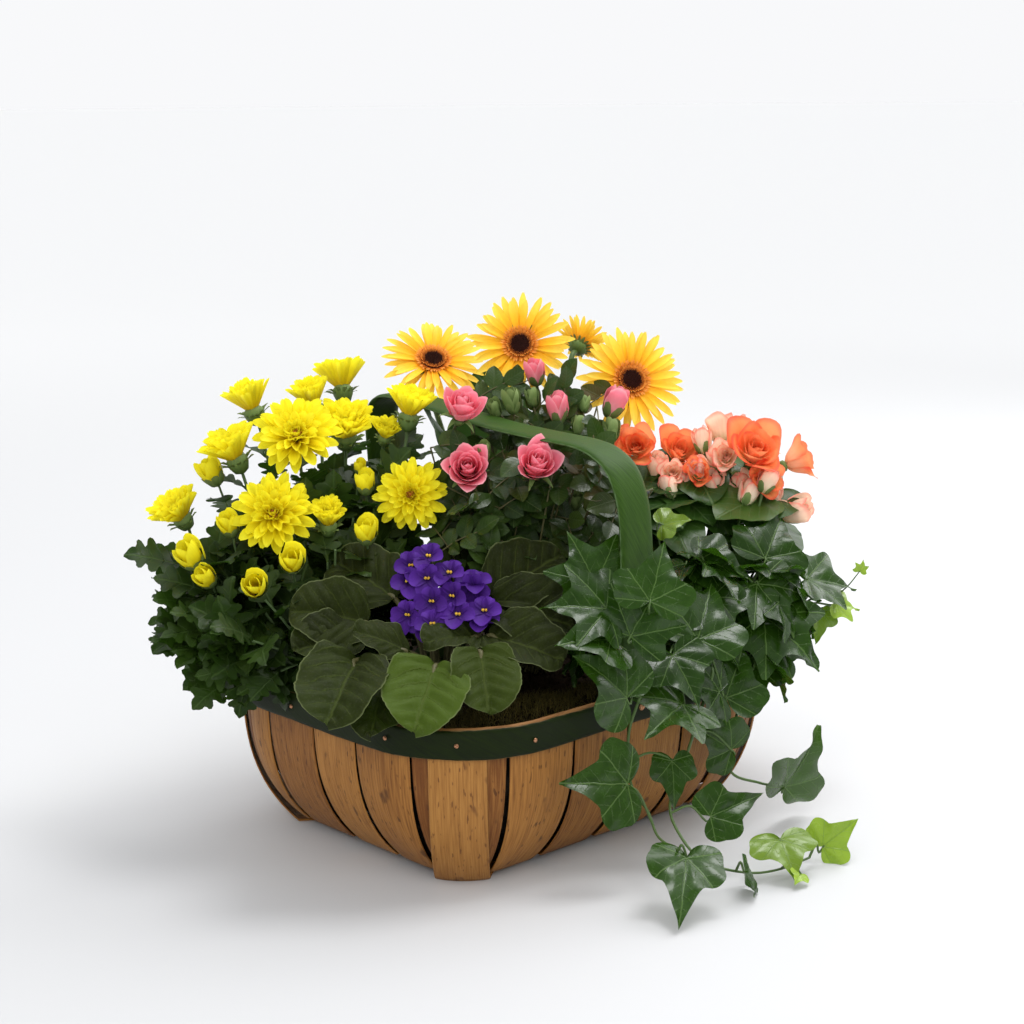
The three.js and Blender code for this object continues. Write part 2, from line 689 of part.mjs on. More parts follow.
function violetFlowers(grow) {
  const base = vector([...VIOLET.flowerRoot, plantFloor - grow]);
  const towards = facing(50, FRONT);
  return join(
    VIOLET.flowers.map((at) => {
      const head = vector(at);
      const profile = [
        [0, -VIOLET.flowerDepth - grow],
        [VIOLET.flowerSize / 2 + grow, 0],
        [0, VIOLET.flowerDepth * 0.75 + grow],
      ];
      const neck = head.clone().addScaledVector(towards, -VIOLET.flowerDepth / 2);
      const bend = base.clone().lerp(head, 0.5);
      bend.z += STEM_RISE / 2;
      const stalk = tube([base, bend, neck], VIOLET.flowerStalk + grow, 2);
      return turned(profile, DISC_SIDES, head, towards).add(stalk);
    }),
  );
}

// Ivy: stems that climb over the rim and trail to the table, with their lobed leaves.
function ivyVine({ path, leaves }, grow) {
  const route = path.map(vector);
  const places = smooth(route).getPoints(60);
  const parts = leaves.map(({ at, tip, size, tilt = 63 }) => {
    const foot = vector(at);
    const along = vector(tip).sub(foot);
    const near = places.reduce((a, b) => (a.distanceTo(foot) < b.distanceTo(foot) ? a : b));
    const stalk = tube([near, foot.clone().addScaledVector(along, 0.2)], IVY.stalk + grow, 1);
    return blade(IVY_OUTLINE, size, foot, along, facing(tilt, FRONT), grow).add(stalk);
  });
  return join([tube(route, IVY.stem + grow, 16), ...parts]);
}

const violetBlooms = cut(violetFlowers(0), [handleSpace]);
add("violet_flowers", violetBlooms, MATERIAL.violetPurple);
const violetBloomSpace = violetFlowers(GAP);
add(
  "violet_leaves",
  largest(cut(violetLeaves(0), [rimBlock, soilSpace, violetBloomSpace, ...bloomSpaces])),
  MATERIAL.violetLeaf,
);
const violetSpace = violetLeaves(GAP);

const earlier = [...bloomSpaces, violetBloomSpace, violetSpace];
for (const vine of IVY.vines) {
  add(vine.name, largest(cut(ivyVine(vine, 0), [rimBlock, ...earlier])), MATERIAL.ivyLeaf);
  earlier.push(ivyVine(vine, GAP));
}

add("moss", trimFoliage(foliage(MOSS.lumps, 0), earlier), MATERIAL.moss);
earlier.push(foliage(MOSS.lumps, GAP));

// Gerbera: upright leaves from the crown, each blade as long as from its foot to its tip.
function gerberaLeaves(grow) {
  return GERBERA.leaves.map(({ tip, turn }) => {
    const end = vector(tip);
    const foot = new THREE.Vector3(...GERBERA.crown, 0).lerp(end, 0.12).setZ(plantFloor - grow);
    const along = end.clone().sub(foot);
    return blade(LANCE_OUTLINE, along.length(), foot, along, facing(50, turn + 180), grow);
  });
}
const gerberaSpaces = gerberaLeaves(GAP);
gerberaLeaves(0).forEach((leaf, i) => {
  const trimmed = cut(leaf, [soilSpace, rimBlock, handleSpace, ...earlier]);
  add(`gerbera_leaf_${i + 1}`, largest(trimmed), MATERIAL.gerberaLeaf);
  earlier.push(gerberaSpaces[i]);
});

for (const [name, plant, material] of [
  ["ivy_foliage", IVY, MATERIAL.ivyLeaf],
  ["rose_foliage", ROSE, MATERIAL.roseLeaf],
  ["begonia_foliage", BEGONIA, MATERIAL.begoniaLeaf],
  ["mum_foliage", MUM, MATERIAL.mumLeaf],
]) {
  add(name, trimFoliage(foliage(plant.lumps, 0), earlier), material);
  earlier.push(foliage(plant.lumps, GAP));
}

export default group;
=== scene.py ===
# %% [markdown]
# # A planted splint basket
# The basket is woven from thin split-wood slats, with a painted rim band and a bent handle. It is
# planted with chrysanthemums, gerberas, a miniature rose, a begonia, an African violet and ivy.
# The imported model gives every piece its place. This lesson replaces its plain solids by petals,
# leaves, slats and soil, made as meshes from numbers, and finishes each with a material of nodes.
#
# The first cell loads the imported model.

import math

import bpy
import numpy as np
from mathutils import Matrix, Vector


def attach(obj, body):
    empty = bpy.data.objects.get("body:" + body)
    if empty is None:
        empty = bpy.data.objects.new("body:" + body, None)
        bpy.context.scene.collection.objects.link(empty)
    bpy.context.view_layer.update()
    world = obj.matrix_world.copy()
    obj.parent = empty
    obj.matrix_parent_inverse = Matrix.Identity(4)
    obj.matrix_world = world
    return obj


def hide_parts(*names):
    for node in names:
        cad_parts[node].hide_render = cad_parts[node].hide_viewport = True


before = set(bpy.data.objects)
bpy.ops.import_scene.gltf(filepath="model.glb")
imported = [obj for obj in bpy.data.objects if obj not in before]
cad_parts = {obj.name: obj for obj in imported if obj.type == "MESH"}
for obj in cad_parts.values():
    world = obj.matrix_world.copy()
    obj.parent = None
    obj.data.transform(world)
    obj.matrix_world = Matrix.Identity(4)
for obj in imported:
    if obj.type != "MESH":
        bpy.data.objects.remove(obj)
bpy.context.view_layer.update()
MM = 0.001  # the tables below are in millimetres, Blender is in metres

# %% [markdown]
# ## Camera
# The camera stands in front of the basket's near corner and looks a little down. It could be
# aimed by hand in the viewport, but numbers can be corrected one at a time. Its axes are worked
# out from yaw, pitch and roll, and go straight into the camera's matrix.

# %% Camera
CAMERA_AT = Vector((-0.9205, -1.0046, 0.4959))
YAW, PITCH, ROLL = (math.radians(a) for a in (42.778, -11.923, -0.48))
LENS_MM, SENSOR_MM = 72.07, 36

ahead = Vector((math.sin(YAW) * math.cos(PITCH), math.cos(YAW) * math.cos(PITCH), math.sin(PITCH)))
level = Vector((math.cos(YAW), -math.sin(YAW), 0))
upright = level.cross(ahead)
right = level * math.cos(ROLL) + upright * math.sin(ROLL)
above = upright * math.cos(ROLL) - level * math.sin(ROLL)

lens = bpy.data.cameras.new("camera")
lens.lens, lens.sensor_width = LENS_MM, SENSOR_MM
camera = bpy.data.objects.new("camera", lens)
camera.matrix_world = Matrix.Translation(CAMERA_AT) @ Matrix((right, above, -ahead)).transposed().to_4x4()
bpy.context.collection.objects.link(camera)
bpy.context.scene.camera = camera
bpy.context.scene.view_settings.view_transform = "Standard"
print("camera looks along", [round(v, 3) for v in ahead])

# %% [markdown]
# ## Shader arithmetic
# Wood, petals and leaves take their colour from sums, such as grain plus dirt, times wear. In the
# node editor each sign would be a Math node with wires drawn by hand. Here a Wire stands for one
# socket, and Python's own signs add the Math nodes, so a finish reads like its formula. Colours
# don't go through Math nodes, which would turn them grey: they are blended and shaded.

# %% Wires that can be added and multiplied
def math_sign(operation, swapped=False):
    """A method that adds the Math node for one sign. Swapped serves 1 - mask and the like."""

    def method(self, *others):
        values = (*others, self) if swapped else (self, *others)
        return self.recipe.number(operation, *values)

    return method


class Wire:
    """An output socket of a shader node, which Python's arithmetic works on."""

    __add__ = __radd__ = math_sign("ADD")
    __mul__ = __rmul__ = math_sign("MULTIPLY")
    __sub__ = math_sign("SUBTRACT")
    __rsub__ = math_sign("SUBTRACT", swapped=True)
    __abs__ = math_sign("ABSOLUTE")
    low = math_sign("MINIMUM")
    high = math_sign("MAXIMUM")
    less = math_sign("LESS_THAN")
    part = math_sign("FRACT")

    def __init__(self, recipe, socket):
        self.recipe, self.socket = recipe, socket

    def rise(self, start, end):
        """0 up to start, 1 from end on, and a smooth step between them."""
        return self.recipe.node(
            "ShaderNodeMapRange", {"interpolation_type": "SMOOTHSTEP"},
            {"Value": self, "From Min": start, "From Max": end},
        )

    def clipped(self):
        return self.low(1).high(0)


print("wires take +, -, * and abs")

# %% A recipe of nodes
class Recipe:
    """The node tree of a material or a world, written as expressions."""

    def __init__(self, owner):
        owner.use_nodes = True
        self.owner, self.tree = owner, owner.node_tree
        self.tree.nodes.clear()

    def node(self, kind, settings={}, sockets={}, output=0):
        """Adds a node: first its settings, then the values or wires it takes."""
        made = self.tree.nodes.new(kind)
        for name, value in settings.items():
            setattr(made, name, value)
        for name, value in sockets.items():
            socket = made.inputs[name]
            if isinstance(value, Wire):
                self.tree.links.new(value.socket, socket)
            elif socket.type == "RGBA":
                socket.default_value = (*value, 1)
            else:
                socket.default_value = value
        return Wire(self, made.outputs[output]) if made.outputs else None

    def number(self, operation, *values):
        return self.node("ShaderNodeMath", {"operation": operation}, dict(enumerate(values)))

    def blend(self, first, second, share):
        """A colour between two colours."""
        return self.node("ShaderNodeMix", {"data_type": "RGBA"}, {0: share, 6: first, 7: second}, 2)

    def shade(self, colour, share):
        """A colour made darker or lighter by a number."""
        return self.node("ShaderNodeVectorMath", {"operation": "SCALE"}, {0: colour, "Scale": share})

    def lit(self, colour, roughness, height, strength, depth, specular=0.5, metallic=0.0):
        """The main shader. Depth is how many metres the bump's height stands for."""
        normal = self.node(
            "ShaderNodeBump", {}, {"Height": height, "Strength": strength, "Distance": depth}
        )
        return self.node("ShaderNodeBsdfPrincipled", {}, {
            "Base Color": colour, "Roughness": roughness, "Normal": normal,
            "Specular IOR Level": specular, "Metallic": metallic,
        })

    def show(self, surface):
        """Ends the recipe: this is what the material shows."""
        self.node("ShaderNodeOutputMaterial", {}, {"Surface": surface})
        return self.owner


print("expressions such as (1 - mask) * 0.4 now make Math nodes")

# %% [markdown]
# ## World
# The light is soft and comes mostly from the far side and the right. A picture of a studio could
# give it, but a few lights of known size are easier to balance. The world itself is a plain
# gradient, brighter on the far side, which draws the bright edges of the petals.

# %% World
BACK_LIGHT, FRONT_LIGHT = 0.96, 0.20
FAR_SIDE = (0.72, 0.54, 0.44)
sky = Recipe(bpy.data.worlds.new("studio"))
bpy.context.scene.world = sky.owner
direction = sky.node("ShaderNodeTexCoord", output="Generated")
towards_back = sky.node(
    "ShaderNodeVectorMath", {"operation": "DOT_PRODUCT"}, {0: direction, 1: FAR_SIDE}, "Value"
)
glow = towards_back.rise(-0.2, 0.6) * (BACK_LIGHT - FRONT_LIGHT) + FRONT_LIGHT
backdrop = sky.node("ShaderNodeBackground", {}, {"Color": (0.98, 0.985, 1.0), "Strength": glow})
sky.node("ShaderNodeOutputWorld", {}, {"Surface": backdrop})
print("world glow from", FRONT_LIGHT, "to", BACK_LIGHT)

# %% [markdown]
# ## Lamps
# Two rectangular lamps, on the right and above, give the leaves their highlights. Three suns with
# a wide angle fill the rest, as light from a patch of sky would. Mirrored in a leaf, such a sun
# would lie on it as a grey veil, so gloss doesn't see the suns.

# %% Lamps
PLANTING_MIDDLE = Vector((0, 0, 0.15))


def aimed_light(name, kind, place, power):
    """A light at a place in metres, turned to the middle of the planting."""
    light = bpy.data.lights.new(name, kind)
    light.energy = power
    lamp = bpy.data.objects.new(name, light)
    lamp.location = place
    lamp.rotation_euler = (PLANTING_MIDDLE - Vector(place)).to_track_quat("-Z", "Y").to_euler()
    bpy.context.collection.objects.link(lamp)
    return lamp


for name, place, width, height, power in (
    ("right_lamp", (1.35, 0.1, 1.1), 0.9, 1.2, 9),
    ("top_lamp", (0.3, -0.25, 1.35), 0.5, 0.5, 8),
):
    lamp = aimed_light(name, "AREA", place, power).data
    lamp.shape, lamp.size, lamp.size_y = "RECTANGLE", width, height
for name, place, spread, power in (
    ("right_sun", (1.0, 0.0, 1.1), 55, 0.9),
    ("front_sun", (-0.6, -0.85, 0.85), 70, 1.9),
    ("left_sun", (-1.1, 0.1, 0.8), 70, 0.8),
):
    sun = aimed_light(name, "SUN", place, power)
    sun.data.angle = math.radians(spread)
    sun.visible_glossy = False
print("two lamps and three wide suns")

# %% [markdown]
# ## Floor
# A plain pale floor carries the basket's soft shadow. A square plane would do, but a disc keeps
# its edge equally far on all sides. Its colour is darker near the basket and lighter with
# distance: painted shade near it and painted light far off, so that the floor runs into the bright
# world behind it without a line.

# %% Floor
FLOOR_RADIUS, FLOOR_CORNERS = 40, 96


def even_turns(count):
    """Angles spaced evenly round a circle."""
    return np.linspace(0, 2 * math.pi, count + 1)[:-1]


floor_mesh = bpy.data.meshes.new("floor")
ring = [(FLOOR_RADIUS * math.cos(a), FLOOR_RADIUS * math.sin(a), 0) for a in even_turns(FLOOR_CORNERS)]
floor_mesh.from_pydata(ring, [], [tuple(range(FLOOR_CORNERS))])
floor = bpy.data.objects.new("floor", floor_mesh)
bpy.context.collection.objects.link(floor)
paint = Recipe(bpy.data.materials.new("pale floor"))
place = paint.node("ShaderNodeTexCoord", output="Object")
distance = paint.node("ShaderNodeVectorMath", {"operation": "LENGTH"}, {0: place}, "Value")
# The blend from dark to light with distance is painted shade near the basket and painted light far off.
pale = paint.blend((0.56, 0.565, 0.575), (0.725, 0.73, 0.735), distance.rise(0.35, 3.0))
matt = paint.node("ShaderNodeBsdfPrincipled", {}, {"Base Color": pale, "Roughness": 0.7})
floor_mesh.materials.append(paint.show(matt))
print("floor", 2 * FLOOR_RADIUS, "m across, so that its edge is lost in the bright background")

# %% [markdown]
# ## How the pieces are made
# A leaf or a petal is a small grid of points. Making one by hand in Edit Mode would be quick, but
# the plants need thousands, each a little different. So a grid is a NumPy array, bending it is
# arithmetic on its columns, and a Mould gathers the grids and turns them into one mesh at the end.
#
# Every point also keeps its place on its own blade, as three numbers: across, along, and how near
# the edge it is. The materials read them to draw veins and rims. A fourth number, the tone, is the
# same all over one leaf and sets how light it is.

# %% A mould that gathers grids into one mesh
class Mould:
    """Gathers points in millimetres, their faces and what the finishes read from them."""

    def __init__(self):
        self.points, self.faces, self.blades, self.tones, self.slots = [], [], [], [], []
        self.count = 0

    def add(self, points, faces, blade=None, tone=0.5, slot=0):
        points = np.asarray(points, float)
        self.points.append(points)
        self.faces.append(np.asarray(faces) + self.count)
        self.blades.append(points if blade is None else blade)
        self.tones.append(np.full(len(points), tone))
        self.slots.append(np.full(len(faces), slot))
        self.count += len(points)

    def piece(self, name, materials, stands_for):
        """Makes the object, in metres, and lets it ride on the basket."""
        mesh = bpy.data.meshes.new(name)
        mesh.vertices.add(self.count)
        mesh.vertices.foreach_set("co", (np.concatenate(self.points) * MM).ravel())
        corners = np.concatenate([f.ravel() for f in self.faces])
        sizes = np.concatenate([np.full(len(f), f.shape[1]) for f in self.faces])
        mesh.loops.add(len(corners))
        mesh.loops.foreach_set("vertex_index", corners)
        mesh.polygons.add(len(sizes))
        mesh.polygons.foreach_set("loop_start", np.cumsum(sizes) - sizes)
        mesh.polygons.foreach_set("material_index", np.concatenate(self.slots))
        mesh.polygons.foreach_set("use_smooth", np.ones(len(sizes), bool))
        blade = mesh.attributes.new("blade", "FLOAT_VECTOR", "POINT")
        blade.data.foreach_set("vector", np.concatenate(self.blades).ravel())
        tone = mesh.attributes.new("tone", "FLOAT", "POINT")
        tone.data.foreach_set("value", np.concatenate(self.tones))
        for material in materials:
            mesh.materials.append(material)
        mesh.update(calc_edges=True)
        mesh.validate()
        made = bpy.data.objects.new(name, mesh)
        bpy.context.collection.objects.link(made)
        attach(made, "root")
        if stands_for:
            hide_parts(*stands_for)
        print(f"{name}: {len(sizes)} faces")


def grid_faces(rows, columns, closed=False):
    """Quads between rows + 1 lines of points, each line columns + 1 points long, or a ring."""
    width = columns if closed else columns + 1
    r, c = np.meshgrid(np.arange(rows), np.arange(columns), indexing="ij")
    after = (c + 1) % width
    return np.stack([r * width + c, r * width + after, (r + 1) * width + after, (r + 1) * width + c],
                    axis=-1).reshape(-1, 4)


print("2 by 3 quads have", len(grid_faces(2, 3)), "faces, closed to a ring", len(grid_faces(2, 3, True)))

# %% [markdown]
# ## Directions and paths
# Plants grow along bent lines and face the light, so most pieces are placed by a point and a
# direction. Empties with constraints could hold them, but thousands of them would be slow. A few
# small functions turn tilts and turns into directions, lay points down, and bend smooth paths.

# %% Directions and paths
def unit(vector):
    vector = np.asarray(vector, float)
    return vector / np.maximum(np.linalg.norm(vector, axis=-1, keepdims=True), 1e-9)


def facing(tilt, turn):
    """A direction tilted from straight up, towards a compass direction from +X, in degrees."""
    t, a = math.radians(tilt), math.radians(turn)
    return np.array([math.sin(t) * math.cos(a), math.sin(t) * math.sin(a), math.cos(t)])


def set_down(points, at, along, face, size=1.0):
    """Moves points so that their Y runs along one direction and their Z faces another."""
    y = unit(along)
    x = unit(np.cross(y, face))
    z = np.cross(x, y)
    return np.asarray(at) + size * (points @ np.array([x, y, z]))


def smooth_path(points, steps):
    """A Catmull-Rom curve through a few points, sampled evenly in its parameter."""
    p = np.asarray(points, float)
    p = np.vstack([2 * p[0] - p[1], p, 2 * p[-1] - p[-2]])
    spans = len(p) - 3
    t = np.linspace(0, spans, steps + 1)
    k = np.minimum(t.astype(int), spans - 1)
    u = (t - k)[:, None]
    a, b, c, d = p[k], p[k + 1], p[k + 2], p[k + 3]
    return 0.5 * (2 * b + (c - a) * u + (2 * a - 5 * b + 4 * c - d) * u**2
                  + (3 * b - a - 3 * c + d) * u**3)


print("level towards +Y:", np.round(facing(90, 90), 3) + 0.0)

# %% [markdown]
# ## Stems
# A stem is a thin round stalk that gets thinner towards its end. A curve with a bevel would make
# it too, but a stem has to join its leaves in one mesh. So rings of points are carried along the
# path, each turned as little as possible against the one before, so that the stalk doesn't twist.

# %% Stems
TWIST_START = [0.31, 0.87, 0.38]  # any direction that no stem follows exactly


def stem(mould, path, radius, end_radius, sides=6, slot=0):
    """A round stalk along a path, with closed ends."""
    path = np.asarray(path, float)
    n = len(path)
    radii = np.linspace(radius, end_radius, n)
    ahead = unit(np.gradient(path, axis=0))
    side = unit(np.cross(ahead[0], TWIST_START))
    c, s = np.cos(even_turns(sides)), np.sin(even_turns(sides))
    rings, blades = [], []
    for i in range(n):
        side = unit(side - ahead[i] * (side @ ahead[i]))
        other = np.cross(ahead[i], side)
        rings.append(path[i] + radii[i] * (np.outer(c, side) + np.outer(s, other)))
        blades.append(np.column_stack([c, np.full(sides, i / n), s]))
    mould.add(np.vstack(rings), grid_faces(n - 1, sides, closed=True), np.vstack(blades), slot=slot)
    for ring, order in ((rings[0], 1), (rings[-1], -1)):
        mould.add(ring, [np.arange(sides)[::-order]], np.zeros((sides, 3)), slot=slot)


print("a stem's ring has 6 sides unless it is told otherwise")

# %% [markdown]
# ## Split wood
# The slats are split wood with a thin stain: fine grain along the length, a few dark flecks, and
# a tone that differs from slat to slat. A wood texture stretched along one axis would break at
# the bends. So every slat carries its own coordinate as its blade, which follows it round them:
# millimetres across, millimetres along, and a number that makes each slat's pattern its own.

# %% Split wood
def place_on_blade(recipe):
    """The place on the blade as a vector and as three numbers, and the piece's tone."""
    place = recipe.node("ShaderNodeAttribute", {"attribute_name": "blade"}, output="Vector")
    tone = recipe.node("ShaderNodeAttribute", {"attribute_name": "tone"}, output="Fac")
    numbers = [recipe.node("ShaderNodeSeparateXYZ", {}, {0: place}, axis) for axis in range(3)]
    return (place, *numbers, tone)


def noise(recipe, place, scale, detail, stretch=None):
    if stretch:
        place = recipe.node("ShaderNodeVectorMath", {"operation": "MULTIPLY"}, {0: place, 1: stretch})
    sockets = {"Vector": place, "Scale": scale, "Detail": detail, "Roughness": 0.55}
    return recipe.node("ShaderNodeTexNoise", {}, sockets)


def split_wood(name, dark, light, fleck):
    wood = Recipe(bpy.data.materials.new(name))
    place, *_, tone = place_on_blade(wood)
    grain = noise(wood, place, 1.0, 4, (1.1, 0.035, 1))
    rays = noise(wood, place, 1.0, 2, (4.0, 0.10, 1))
    cloud = noise(wood, place, 1.0, 2, (0.06, 0.02, 1))
    share = (grain.rise(0.3, 0.7) * 0.55 + rays * 0.25 + cloud * 0.5 + tone * 1.3 - 0.82).clipped()
    colour = wood.blend(dark, light, share)
    flecks = noise(wood, place, 1.0, 1, (0.60, 0.12, 3)).rise(0.66, 0.73)
    knots = noise(wood, place, 1.0, 2, (0.11, 0.05, 5)).rise(0.63, 0.76)
    colour = wood.blend(colour, fleck, (flecks * 0.7 + knots * 0.75).low(0.8))
    colour = wood.blend(colour, fleck, (1 - grain.rise(0.28, 0.4)) * 0.35)
    height = grain * 0.6 + rays * 0.4
    return wood.show(wood.lit(colour, 0.62 - grain * 0.16, height, 0.5, 0.0006, specular=0.25))


SLAT_WOOD = split_wood("split wood", (0.145, 0.049, 0.009), (0.38, 0.172, 0.038), (0.05, 0.016, 0.005))
CORNER_WOOD = split_wood(
    "corner split wood", (0.19, 0.072, 0.014), (0.38, 0.180, 0.043), (0.09, 0.030, 0.009)
)
HOOP_WOOD = split_wood("hoop wood", (0.16, 0.065, 0.018), (0.40, 0.20, 0.07), (0.08, 0.03, 0.01))
print("three woods, for the slats, the corner slats and the hoop")

# %% [markdown]
# ## Green paint
# The band and the handle are brushed with thin green paint. One even green would look like
# plastic. Brush marks run slantwise along the wood, and the paint is rubbed off at the edges,
# where hands and other baskets have touched it.

# %% Green paint
def green_paint(name, dark, light, bare):
    """Thin paint over bent wood: brush marks along it, and bare wood at the rubbed edges."""
    paint = Recipe(bpy.data.materials.new(name))
    place, across, along, edge, _ = place_on_blade(paint)
    slanted = paint.node(
        "ShaderNodeCombineXYZ", {}, {0: across * 0.6 + along * 0.32, 1: along * 0.05}
    )
    brush = noise(paint, slanted, 1.0, 4)
    cloud = noise(paint, place, 1.0, 3, (0.05, 0.03, 1))
    colour = paint.blend(dark, light, (brush * 1.3 + cloud * 0.6 - 0.5).clipped())
    rubbed = (edge + noise(paint, place, 1.0, 4, (0.6, 0.12, 0)) * 0.9).rise(1.25, 1.5)
    colour = paint.blend(colour, bare, rubbed * 0.75)
    return paint.show(paint.lit(colour, 0.42 + brush * 0.2, brush, 0.3, 0.0005, specular=0.15))


# The band wears the same paint as the handle. Its much darker colours are painted shade on the band.
SHADED_BAND_PAINT = green_paint("band paint with painted shade", (0.003, 0.006, 0.001), (0.010, 0.019, 0.001), (0.16, 0.10, 0.04))
HANDLE_PAINT = green_paint("handle paint", (0.014, 0.038, 0.004), (0.042, 0.094, 0.011), (0.09, 0.15, 0.06))
print("paint for the band and the handle")

# %% [markdown]
# ## Copper and liner plastic
# The handle is held by small copper rivets, which have dulled. The liner is thin dark plastic,
# creased and dusty with soil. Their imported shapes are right, so only their finish is new. Both
# follow the solid itself, by its object coordinates.

# %% Copper and liner plastic
def place_in_solid(recipe):
    return recipe.node("ShaderNodeTexCoord", output="Object")


copper = Recipe(bpy.data.materials.new("copper"))
dull = noise(copper, place_in_solid(copper), 900, 3)
colour = copper.blend((0.22, 0.09, 0.04), (0.66, 0.34, 0.19), dull.rise(0.3, 0.6))
COPPER = copper.show(copper.lit(colour, 0.3 + dull * 0.35, dull, 0.3, 0.0003, metallic=0.9))

plastic = Recipe(bpy.data.materials.new("liner plastic"))
solid = place_in_solid(plastic)
crease = noise(plastic, solid, 55, 4)
dust = noise(plastic, solid, 160, 4).rise(0.5, 0.75)
colour = plastic.blend((0.010, 0.010, 0.010), (0.06, 0.045, 0.03), dust * 0.7)
LINER_PLASTIC = plastic.show(plastic.lit(colour, 0.3 + dust * 0.5, crease, 0.9, 0.004))

RIVETS = [f"rivet_{side}_{k}" for side in ("front", "back") for k in (1, 2)]
for node in RIVETS:
    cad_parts[node].data.materials[0] = COPPER
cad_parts["liner"].data.materials[0] = LINER_PLASTIC
print("copper on", len(RIVETS), "rivets, plastic on the liner")

# %% [markdown]
# ## The basket's outline
# Seen from above the basket is a rectangle with round corners, smaller at the floor. The walls
# bulge, steep at the top and drawn in near the floor. Each wall could be bent by hand to fit,
# but then the soil and the band would have to be fitted too. One function gives the outline for
# any height, so the slats, the band, the hoop and the soil all follow it.

# %% Outline and rings
RIM = {"length": 330, "width": 270, "corner": 78, "top": 111}
FLOOR = {"length": 262, "width": 202, "corner": 42}
WALL_CURVE = 3.2  # the power of the bulge
CORNER_STEPS, LONGEST_STEP = 20, 8  # points in each corner, and millimetres between points


def outline_at(height, inset):
    """Half lengths along X and Y, and the corner radius. Height is 0 at the floor, 1 at the rim."""
    out = 1 - (1 - np.asarray(height, float)) ** WALL_CURVE
    half_x, half_y, corner = (
        (FLOOR[k] + (RIM[k] - FLOOR[k]) * out) * share
        for k, share in (("length", 0.5), ("width", 0.5), ("corner", 1))
    )
    return half_x - inset, half_y - inset, corner - inset


def rim_path(inset):
    """Points round the rim, with their outward directions. Straight stretches are cut up too."""
    half_x, half_y, corner = outline_at(1, inset)
    points, outward = [], []
    for quarter, (sx, sy) in enumerate([(1, 1), (-1, 1), (-1, -1), (1, -1)]):
        for k in range(CORNER_STEPS + 1):
            angle = (quarter + k / CORNER_STEPS) * math.pi / 2
            out = np.array([math.cos(angle), math.sin(angle), 0])
            points.append(np.array([sx * (half_x - corner), sy * (half_y - corner), 0]) + corner * out)
            outward.append(out)
    points, outward = np.array(points), np.array(outward)
    path, normals = [], []
    for i in range(len(points)):
        here, there = points[i], points[(i + 1) % len(points)]
        cuts = max(1, int(np.linalg.norm(there - here) / LONGEST_STEP))
        for k in range(cuts):
            path.append(here + (there - here) * k / cuts)
            normals.append(outward[i])
    return np.array(path + path[:1]), np.array(normals + normals[:1])


print("half length, half width and corner of the rim:", [round(float(v), 1) for v in outline_at(1, 0)])

# %% [markdown]
# ## Slats
# Each slat runs from rim to rim: down one wall, across under the floor and up the other wall. All
# could be cut from one sheet with a woven texture, but then no edge would be free. Each is its own
# strip, of even thickness with soft edges, as a hand-split splint has. This step makes the strip.

# %% Strip of split wood
SLAT = {"thickness": 1.4, "top": 108.5, "corner_width": 36.5, "rim_gap": 1.4, "floor_gap": 6.5}
BAND = {"thickness": 1.8, "low": 92, "high": 111}
GAP, WALL_GAP = 0.35, 0.75  # between the layers under the floor, and in the wall
LAYER = SLAT["thickness"] + GAP
INSET_CORNER = BAND["thickness"] + WALL_GAP + SLAT["thickness"] / 2
INSET_WALL = INSET_CORNER + SLAT["thickness"] + WALL_GAP
SHARES = np.array([0, 0.012, 0.04, 0.1, 0.2, 0.35, 0.5, 0.65, 0.8, 0.9, 0.96, 0.988, 1])  # across
THINNING = np.array([0.25, 0.7, 0.95, 1, 1, 1, 1, 1, 1, 1, 0.95, 0.7, 0.25])  # at those places
HEIGHTS = np.concatenate([np.linspace(1, 0.3, 12), np.linspace(0.26, 0, 12)])
wood_chance = np.random.default_rng(7)


def running_length(points, axis=0):
    """How far each point is along its line, starting from 0."""
    steps = np.linalg.norm(np.diff(points, axis=axis), axis=-1)
    return np.insert(np.cumsum(steps, axis=axis), 0, 0, axis=axis)


def strip(surface, thickness, thin, seed):
    """A closed strip round a grid of points, thinner towards its long edges."""
    rows, columns = surface.shape[:2]
    normal = unit(np.cross(np.gradient(surface, axis=0), np.gradient(surface, axis=1)))
    half = (thickness / 2 * thin)[None, :, None] * normal
    rings = np.concatenate([surface + half, (surface - half)[:, ::-1]], axis=1)
    width = running_length(surface, 1).mean(0)
    length = running_length(surface, 0).mean(1)
    blade = np.zeros(rings.shape)
    blade[..., 0] = np.concatenate([width, width[::-1]])[None]
    blade[..., 1] = length[:, None]
    blade[..., 2] = seed
    return rings.reshape(-1, 3), grid_faces(rows - 1, 2 * columns, closed=True), blade.reshape(-1, 3)


def end_caps(rows, ring):
    """The two end faces, as quads between the strip's upper and lower line."""
    half = ring // 2
    k = np.arange(half - 1)
    first = np.stack([k, ring - 1 - k, ring - 2 - k, k + 1], axis=1)
    return np.vstack([first, first[:, ::-1] + (rows - 1) * ring])


def down_under_up(row, floor_rows, hump=0.0):
    """A slat's lines of points: down one wall, flat under the floor and up the other wall."""
    down = [row(height, -1) for height in HEIGHTS]
    up = [row(height, 1) for height in HEIGHTS[::-1]]
    under = []
    for share in np.arange(1, floor_rows) / floor_rows:
        raised = hump * np.clip((0.2 - abs(share - 0.5)) / 0.06, 0, 1)
        under.append(down[-1] + (up[0] - down[-1]) * share + [0, 0, raised])
    return np.array(down + under + up)


def slat_piece(name, node, surfaces, wood, tone):
    mould = Mould()
    for surface in surfaces:
        points, faces, blade = strip(surface, SLAT["thickness"], THINNING, wood_chance.uniform(0, 90))
        mould.add(points, np.vstack([faces, end_caps(len(surface), 2 * len(SHARES))]), blade, tone)
        tone = tone - 0.35
    mould.piece(name, [wood], [node])


print("a slat's section has", 2 * len(SHARES), "points")

# %% [markdown]
# ## Slats of the four walls
# Five slats run the short way and four the long way, on top of them under the floor. Their gaps
# are narrow at the rim and wider at the floor, because the walls draw in. Copies of one slat would
# be too regular, so each has its own edges and wavers a little. A narrow strip fills each wall's
# end, beside the corner slat.

